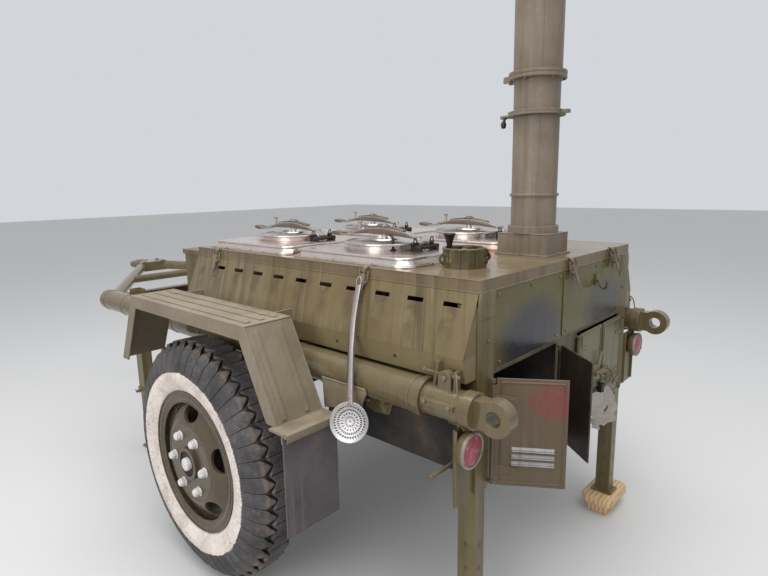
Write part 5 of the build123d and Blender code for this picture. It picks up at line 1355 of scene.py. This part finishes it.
def mudguards():
    """Hems along the lips, folded joints across the top, bolts, a rolled step edge and the saddle plate."""
    parts = [
        bent("hem", guard_arch(0.4955, 0.3725, GUARD_OUTER - 0.002, 1.0305), 0.0035, smooth=False),
        bent("edge", guard_arch(0.5435, 0.3995, GUARD_OUTER - 0.0025, 1.0755), 0.0030, smooth=False),
        bent("edge", guard_arch(0.5435, 0.3995, 0.7625, 1.0755), 0.0030, smooth=False),
    ]
    for x in (-0.3995, 0.3995):
        parts.append(rod("fold", place(x, 0.7615, 1.0755), place(x, 0.9435, 1.0755), 0.0032, 12))
    step = [(-0.532, 0.7895), (-0.600, 0.7905), (-0.612, 0.7955), (-0.6205, 0.7900), (-0.6215, 0.7780),
            (-0.6170, 0.7640), (-0.6150, 0.7640), (-0.6190, 0.7780), (-0.6180, 0.7880), (-0.6110, 0.7925),
            (-0.600, 0.7880), (-0.532, 0.7870)]
    parts.append(plate("step", [place(x, 0.7560, z) for x, z in step], (0, 0.2085, 0), 0.0008))
    parts.append(block("strip", place(-0.5965, 0.7560, 0.755), place(-0.5900, 0.9640, 0.781), 0.0015))
    for y in (0.785, 0.860, 0.935):
        parts.append(turned("bolt", [(0, 0.001), (0.0065, 0.001), (0.0062, -0.0035), (0, -0.0042)],
                            place(-0.6030, y, 0.768), "X", 6))
    for x in (-0.300, 0.300):
        for y in (0.785, 0.812):
            parts.append(turned("bolt", [(0, -0.001), (0.0060, -0.001), (0.0058, 0.0030), (0.0030, 0.0042),
                                         (0, 0.0045)],
                                place(x, y, 1.0760), "Z", 16))
    saddle = [(-0.5000, 0.8760), (-0.6980, 0.8790), (-0.7040, 0.8700), (-0.6800, 0.8160), (-0.6740, 0.8100),
              (-0.5050, 0.7720)]
    parts.append(plate("saddle", [place(x, 0.7165, z) for x, z in saddle], (0, 0.0030, 0), 0.0010))
    parts.append(rod("saddle_fold", place(-0.6980, 0.7185, 0.8790), place(-0.5000, 0.7185, 0.8760),
                     0.0032, 10))
    parts.append(rod("saddle_fold", place(-0.6980, 0.7185, 0.8790), place(-0.6790, 0.7185, 0.8140),
                     0.0032, 10))
    both_sides(joined("mudguard_trim_left", parts), GUARD_PAINT)


# Chimney

CHIMNEY = (-0.840, -0.060)
SEAM_TURN = 2.2


def by_chimney(radius, turn, z):
    """A place at a distance from the chimney's middle."""
    return place(CHIMNEY[0] + radius * cos(turn), CHIMNEY[1] + radius * sin(turn), z)


def chimney():
    """Seams, flange bolts, the damper's lever with its knob, and bolts at the base."""
    x, y = CHIMNEY
    centre = place(x, y, 0)
    parts = []
    for z, out in ((1.4550, 0.0885), (1.7390, 0.1020), (1.7510, 0.1020)):
        ring = [(out - 0.004, z - 0.0030), (out, z - 0.0018), (out + 0.0012, z), (out, z + 0.0018),
                (out - 0.004, z + 0.0030), (out - 0.004, z - 0.0030)]
        parts.append(turned("ring", ring, centre, "Z", 72))
    for z, sign in ((1.7510, 1), (1.8625, -1)):
        head = [(0, -0.001 * sign), (0.0060, -0.001 * sign), (0.0058, 0.0050 * sign), (0, 0.0055 * sign)]
        for index in range(6):
            parts.append(turned("bolt", head, by_chimney(0.0930, radians(30 + 60 * index), z), "Z", 6))
    parts.append(rod("seam", by_chimney(0.0823, SEAM_TURN, 1.345), by_chimney(0.0823, SEAM_TURN, 1.735),
                     0.0028, 10))
    for dx, dy in ((-0.092, -0.077), (-0.092, 0.077), (0.092, -0.077), (0.092, 0.077), (0, 0.0885),
                   (0, -0.0885), (-0.104, 0), (0.104, 0)):
        parts.append(turned("bolt", [(0, -0.001), (0.0060, -0.001), (0.0058, 0.0035), (0.0030, 0.0050),
                                     (0, 0.0052)],
                            place(x + dx, y + dy, 1.2400), "Z", 12))
    parts.append(rod("edge", place(x - 0.0995, y - 0.085, 1.3145), place(x - 0.0995, y + 0.085, 1.3145),
                     0.0022, 10))
    parts.append(rod("edge", place(x - 0.100, y + 0.0845, 1.3145), place(x + 0.100, y + 0.0845, 1.3145),
                     0.0022, 10))
    finish(joined("chimney_trim", parts), CHIMNEY_PAINT)
    lever = bent("lever", [place(x + 0.102, y, 1.745), place(x + 0.122, y, 1.745),
                           place(x + 0.128, y + 0.008, 1.738), place(x + 0.130, y + 0.010, 1.722)], 0.0055)
    knob = turned("knob", [(0, -0.014), (0.0080, -0.012), (0.0105, 0.000), (0.0080, 0.010), (0.0050, 0.013),
                           (0, 0.013)],
                  place(x + 0.130, y + 0.010, 1.716), "Z", 24)
    finish(joined("damper_lever", [lever, knob]), BLACK_IRON)
    rim = [(0.0855, 2.4360), (0.0905, 2.4400), (0.0915, 2.4440), (0.0902, 2.4490), (0.0850, 2.4490),
           (0.0835, 2.4420), (0.0855, 2.4360)]
    upper = [turned("rim", rim, centre, "Z", 72)]
    upper.append(rod("seam", by_chimney(0.0858, SEAM_TURN, 1.890), by_chimney(0.0858, SEAM_TURN, 2.438),
                     0.0028, 10))
    ring = [(0.0985, 1.8790), (0.1020, 1.8800), (0.1030, 1.8820), (0.1020, 1.8840), (0.0985, 1.8850),
            (0.0985, 1.8790)]
    upper.append(turned("ring", ring, centre, "Z", 72))
    finish(joined("chimney_top_trim", upper), CHIMNEY_PAINT, "chimney_upper")


# Legs, frame, drawbar and the ground block

def frame_trim():
    """Caps, pins, weld rings, brackets and bolts along the side tubes, and the drawbar's bolts."""
    cap = [(0, -0.001), (0.0520, -0.001), (0.0500, 0.0030), (0.0200, 0.0040), (0, 0.0040)]
    parts = [turned("cap", cap, place(TUBE_FRONT, TUBE_Y, TUBE_Z), "X", 48)]
    for z in (0.925, 0.891, 0.858):
        parts.append(rod("pin", place(TUBE_FRONT, TUBE_Y + 0.010, z),
                         place(TUBE_FRONT + 0.034, TUBE_Y + 0.014, z + 0.004), 0.0065, 14, 0.0015))
    for x in (-0.860, -0.330, 0.560, 1.120, 1.340):
        ring = [(0.0545, -0.0060), (0.0568, -0.0050), (0.0572, 0), (0.0568, 0.0050), (0.0545, 0.0060),
                (0.0545, -0.0060)]
        parts.append(turned("weld", ring, place(x, TUBE_Y, TUBE_Z), "X", 48))
    bracket = [(-0.575, 0.830), (-0.350, 0.842), (-0.350, 0.815), (-0.430, 0.790), (-0.470, 0.742),
               (-0.520, 0.738), (-0.560, 0.790)]
    parts.append(plate("bracket", [place(x, 0.6180, z) for x, z in bracket], (0, 0.0055, 0), 0.001))
    lug = [(-0.735, 0.838), (-0.590, 0.838), (-0.610, 0.775), (-0.650, 0.762), (-0.710, 0.768)]
    parts.append(plate("lug", [place(x, 0.6180, z) for x, z in lug], (0, 0.0055, 0), 0.001))
    for x, z in ((-0.400, 0.822), (-0.530, 0.800), (-0.500, 0.760), (-0.620, 0.800), (-0.700, 0.800)):
        parts.append(rod("bolt", place(x, 0.6150, z), place(x, 0.6300, z), 0.0080, 6, 0.001))
    both_sides(joined("frame_trim_left", parts), TUBE_PAINT)
    bolts = []
    for x in (2.235, 2.330):
        for y in (-0.070, 0.070):
            bolts.append(rod("bolt", place(x, y, 0.955), place(x, y, 0.973), 0.0110, 6, 0.002))
            bolts.append(turned("washer", [(0, 0), (0.0165, 0), (0.0165, 0.0030), (0.0150, 0.0040),
                                           (0, 0.0040)],
                                place(x, y, 0.9635), "Z", 24))
    collar = [(0.0255, -0.010), (0.0360, -0.010), (0.0375, -0.007), (0.0375, 0.010), (0.0330, 0.0160),
              (0.0255, 0.0160), (0.0255, -0.010)]
    bolts.append(turned("collar", collar, place(2.362, 0, 0.930), "X", 40))
    finish(joined("drawbar_trim", bolts), TUBE_PAINT)


LEGS = (
    # name, x, side, height of the foot, the sleeve's foot
    ("leg_rear_left", REAR_LEG_X, 1, 0.0, 0.590),
    ("leg_rear_right", REAR_LEG_X, -1, 0.085, 0.590),
    ("leg_front_left", FRONT_LEG_X, 1, 0.0, 0.345),
    ("leg_front_right", FRONT_LEG_X, -1, 0.0, 0.345),
)
LEG_HALF_LONG = 0.0312
LEG_HALF_WIDE = 0.0252
HOLE_PITCH = 0.08


def legs():
    """Plugged holes down the legs and weld beads on the feet."""
    for name, x, side, foot, top in LEGS:
        y = side * LEG_Y
        weld = []
        for along, across in ((1, 1), (-1, 1), (-1, -1), (1, -1)):
            weld.append(place(x + along * LEG_HALF_LONG, y + across * LEG_HALF_WIDE, foot + 0.0115))
        parts = [bent("weld", weld + weld[:1], 0.0045, smooth=False)]
        for index in range(int((top - foot - 0.12) / HOLE_PITCH)):
            z = foot + 0.090 + index * HOLE_PITCH
            for sign in (-1, 1):
                ring = [(0.0001, -0.0006 * sign), (0.0098, -0.0006 * sign), (0.0092, 0.0001 * sign),
                        (0.0001, 0.0001 * sign), (0.0001, -0.0006 * sign)]
                parts.append(turned("ring", ring, place(x, y + sign * LEG_HALF_WIDE, z), "Y", 20))
                parts.append(turned("ring", ring, place(x + sign * LEG_HALF_LONG, y, z), "X", 20))
        finish(joined(name + "_trim", parts), LOW_PAINT, name)


def ground_block():
    """Two rough pine offcuts: a block, and a board with chamfered corners across it."""
    x = REAR_LEG_X
    y = -LEG_Y
    low = block("low", place(x - 0.045, y - 0.070, 0.0), place(x + 0.045, y + 0.070, 0.0502), 0.004)
    outline = [(-0.070, -0.096), (-0.046, -0.120), (0.050, -0.120), (0.070, -0.100), (0.070, 0.078),
               (0.046, 0.100), (-0.050, 0.100), (-0.070, 0.080)]
    high = plate("high", [place(x + px, y + py, 0.0500) for px, py in outline], (0, 0, 0.0350), 0.003)
    timber = joined("pine_block", [low, high])
    edit(timber)
    bpy.ops.mesh.subdivide(number_cuts=1)
    done()
    finish(timber, PINE, replaces=["ground_block"])


# Stage

def stage():
    """A pale floor, soft light from a wide window overhead and the camera."""
    bpy.ops.object.select_all(action="DESELECT")
    bpy.ops.mesh.primitive_plane_add(size=60, location=(0, 0, 0))
    floor = bpy.context.object
    floor.name = "floor"
    s = Surface("floor", roughness=0.7)
    s.shader.inputs["Base Color"].default_value = (0.62, 0.61, 0.60, 1)
    floor.data.materials.append(s.material)

    world = bpy.data.worlds.new("studio")
    world.use_nodes = True
    world.node_tree.nodes["Background"].inputs["Color"].default_value = (0.86, 0.89, 0.93, 1)
    world.node_tree.nodes["Background"].inputs["Strength"].default_value = 0.75
    bpy.context.scene.world = world

    for name, at, size, power in (("overhead", (-1.5, 1.0, 5.5), 5.0, 260),
                                  ("side", (-2.0, 6.0, 3.2), 3.5, 120)):
        light = bpy.data.lights.new(name, "AREA")
        light.size = size
        light.energy = power
        lamp = bpy.data.objects.new(name, light)
        bpy.context.scene.collection.objects.link(lamp)
        lamp.location = at
        lamp.rotation_euler = (place(0, 0, 0.8) - Vector(at)).to_track_quat("-Z", "Y").to_euler()

    data = bpy.data.cameras.new("camera")
    data.lens = CAMERA_LENS
    data.sensor_width = 36
    camera = bpy.data.objects.new("camera", data)
    bpy.context.scene.collection.objects.link(camera)
    heading = Matrix.Rotation(radians(CAMERA_HEADING - 90), 4, "Z")
    dip = Matrix.Rotation(radians(90 - CAMERA_DIP), 4, "X")
    roll = Matrix.Rotation(radians(CAMERA_ROLL), 4, "Z")
    camera.matrix_world = Matrix.Translation(CAMERA_PLACE) @ heading @ dip @ roll
    bpy.context.scene.camera = camera
    bpy.context.scene.view_settings.view_transform = "Standard"


dress_frame()
wheels()
lids()
pan_trim()
latches()
body_plates()
rear_fittings()
deck_hems()
box_fittings()
filler()
lamps()
clamps()
skimmer_bowl()
skimmer_handle()
doors()
door_latch()
mudguards()
chimney()
frame_trim()
legs()
ground_block()
stage()
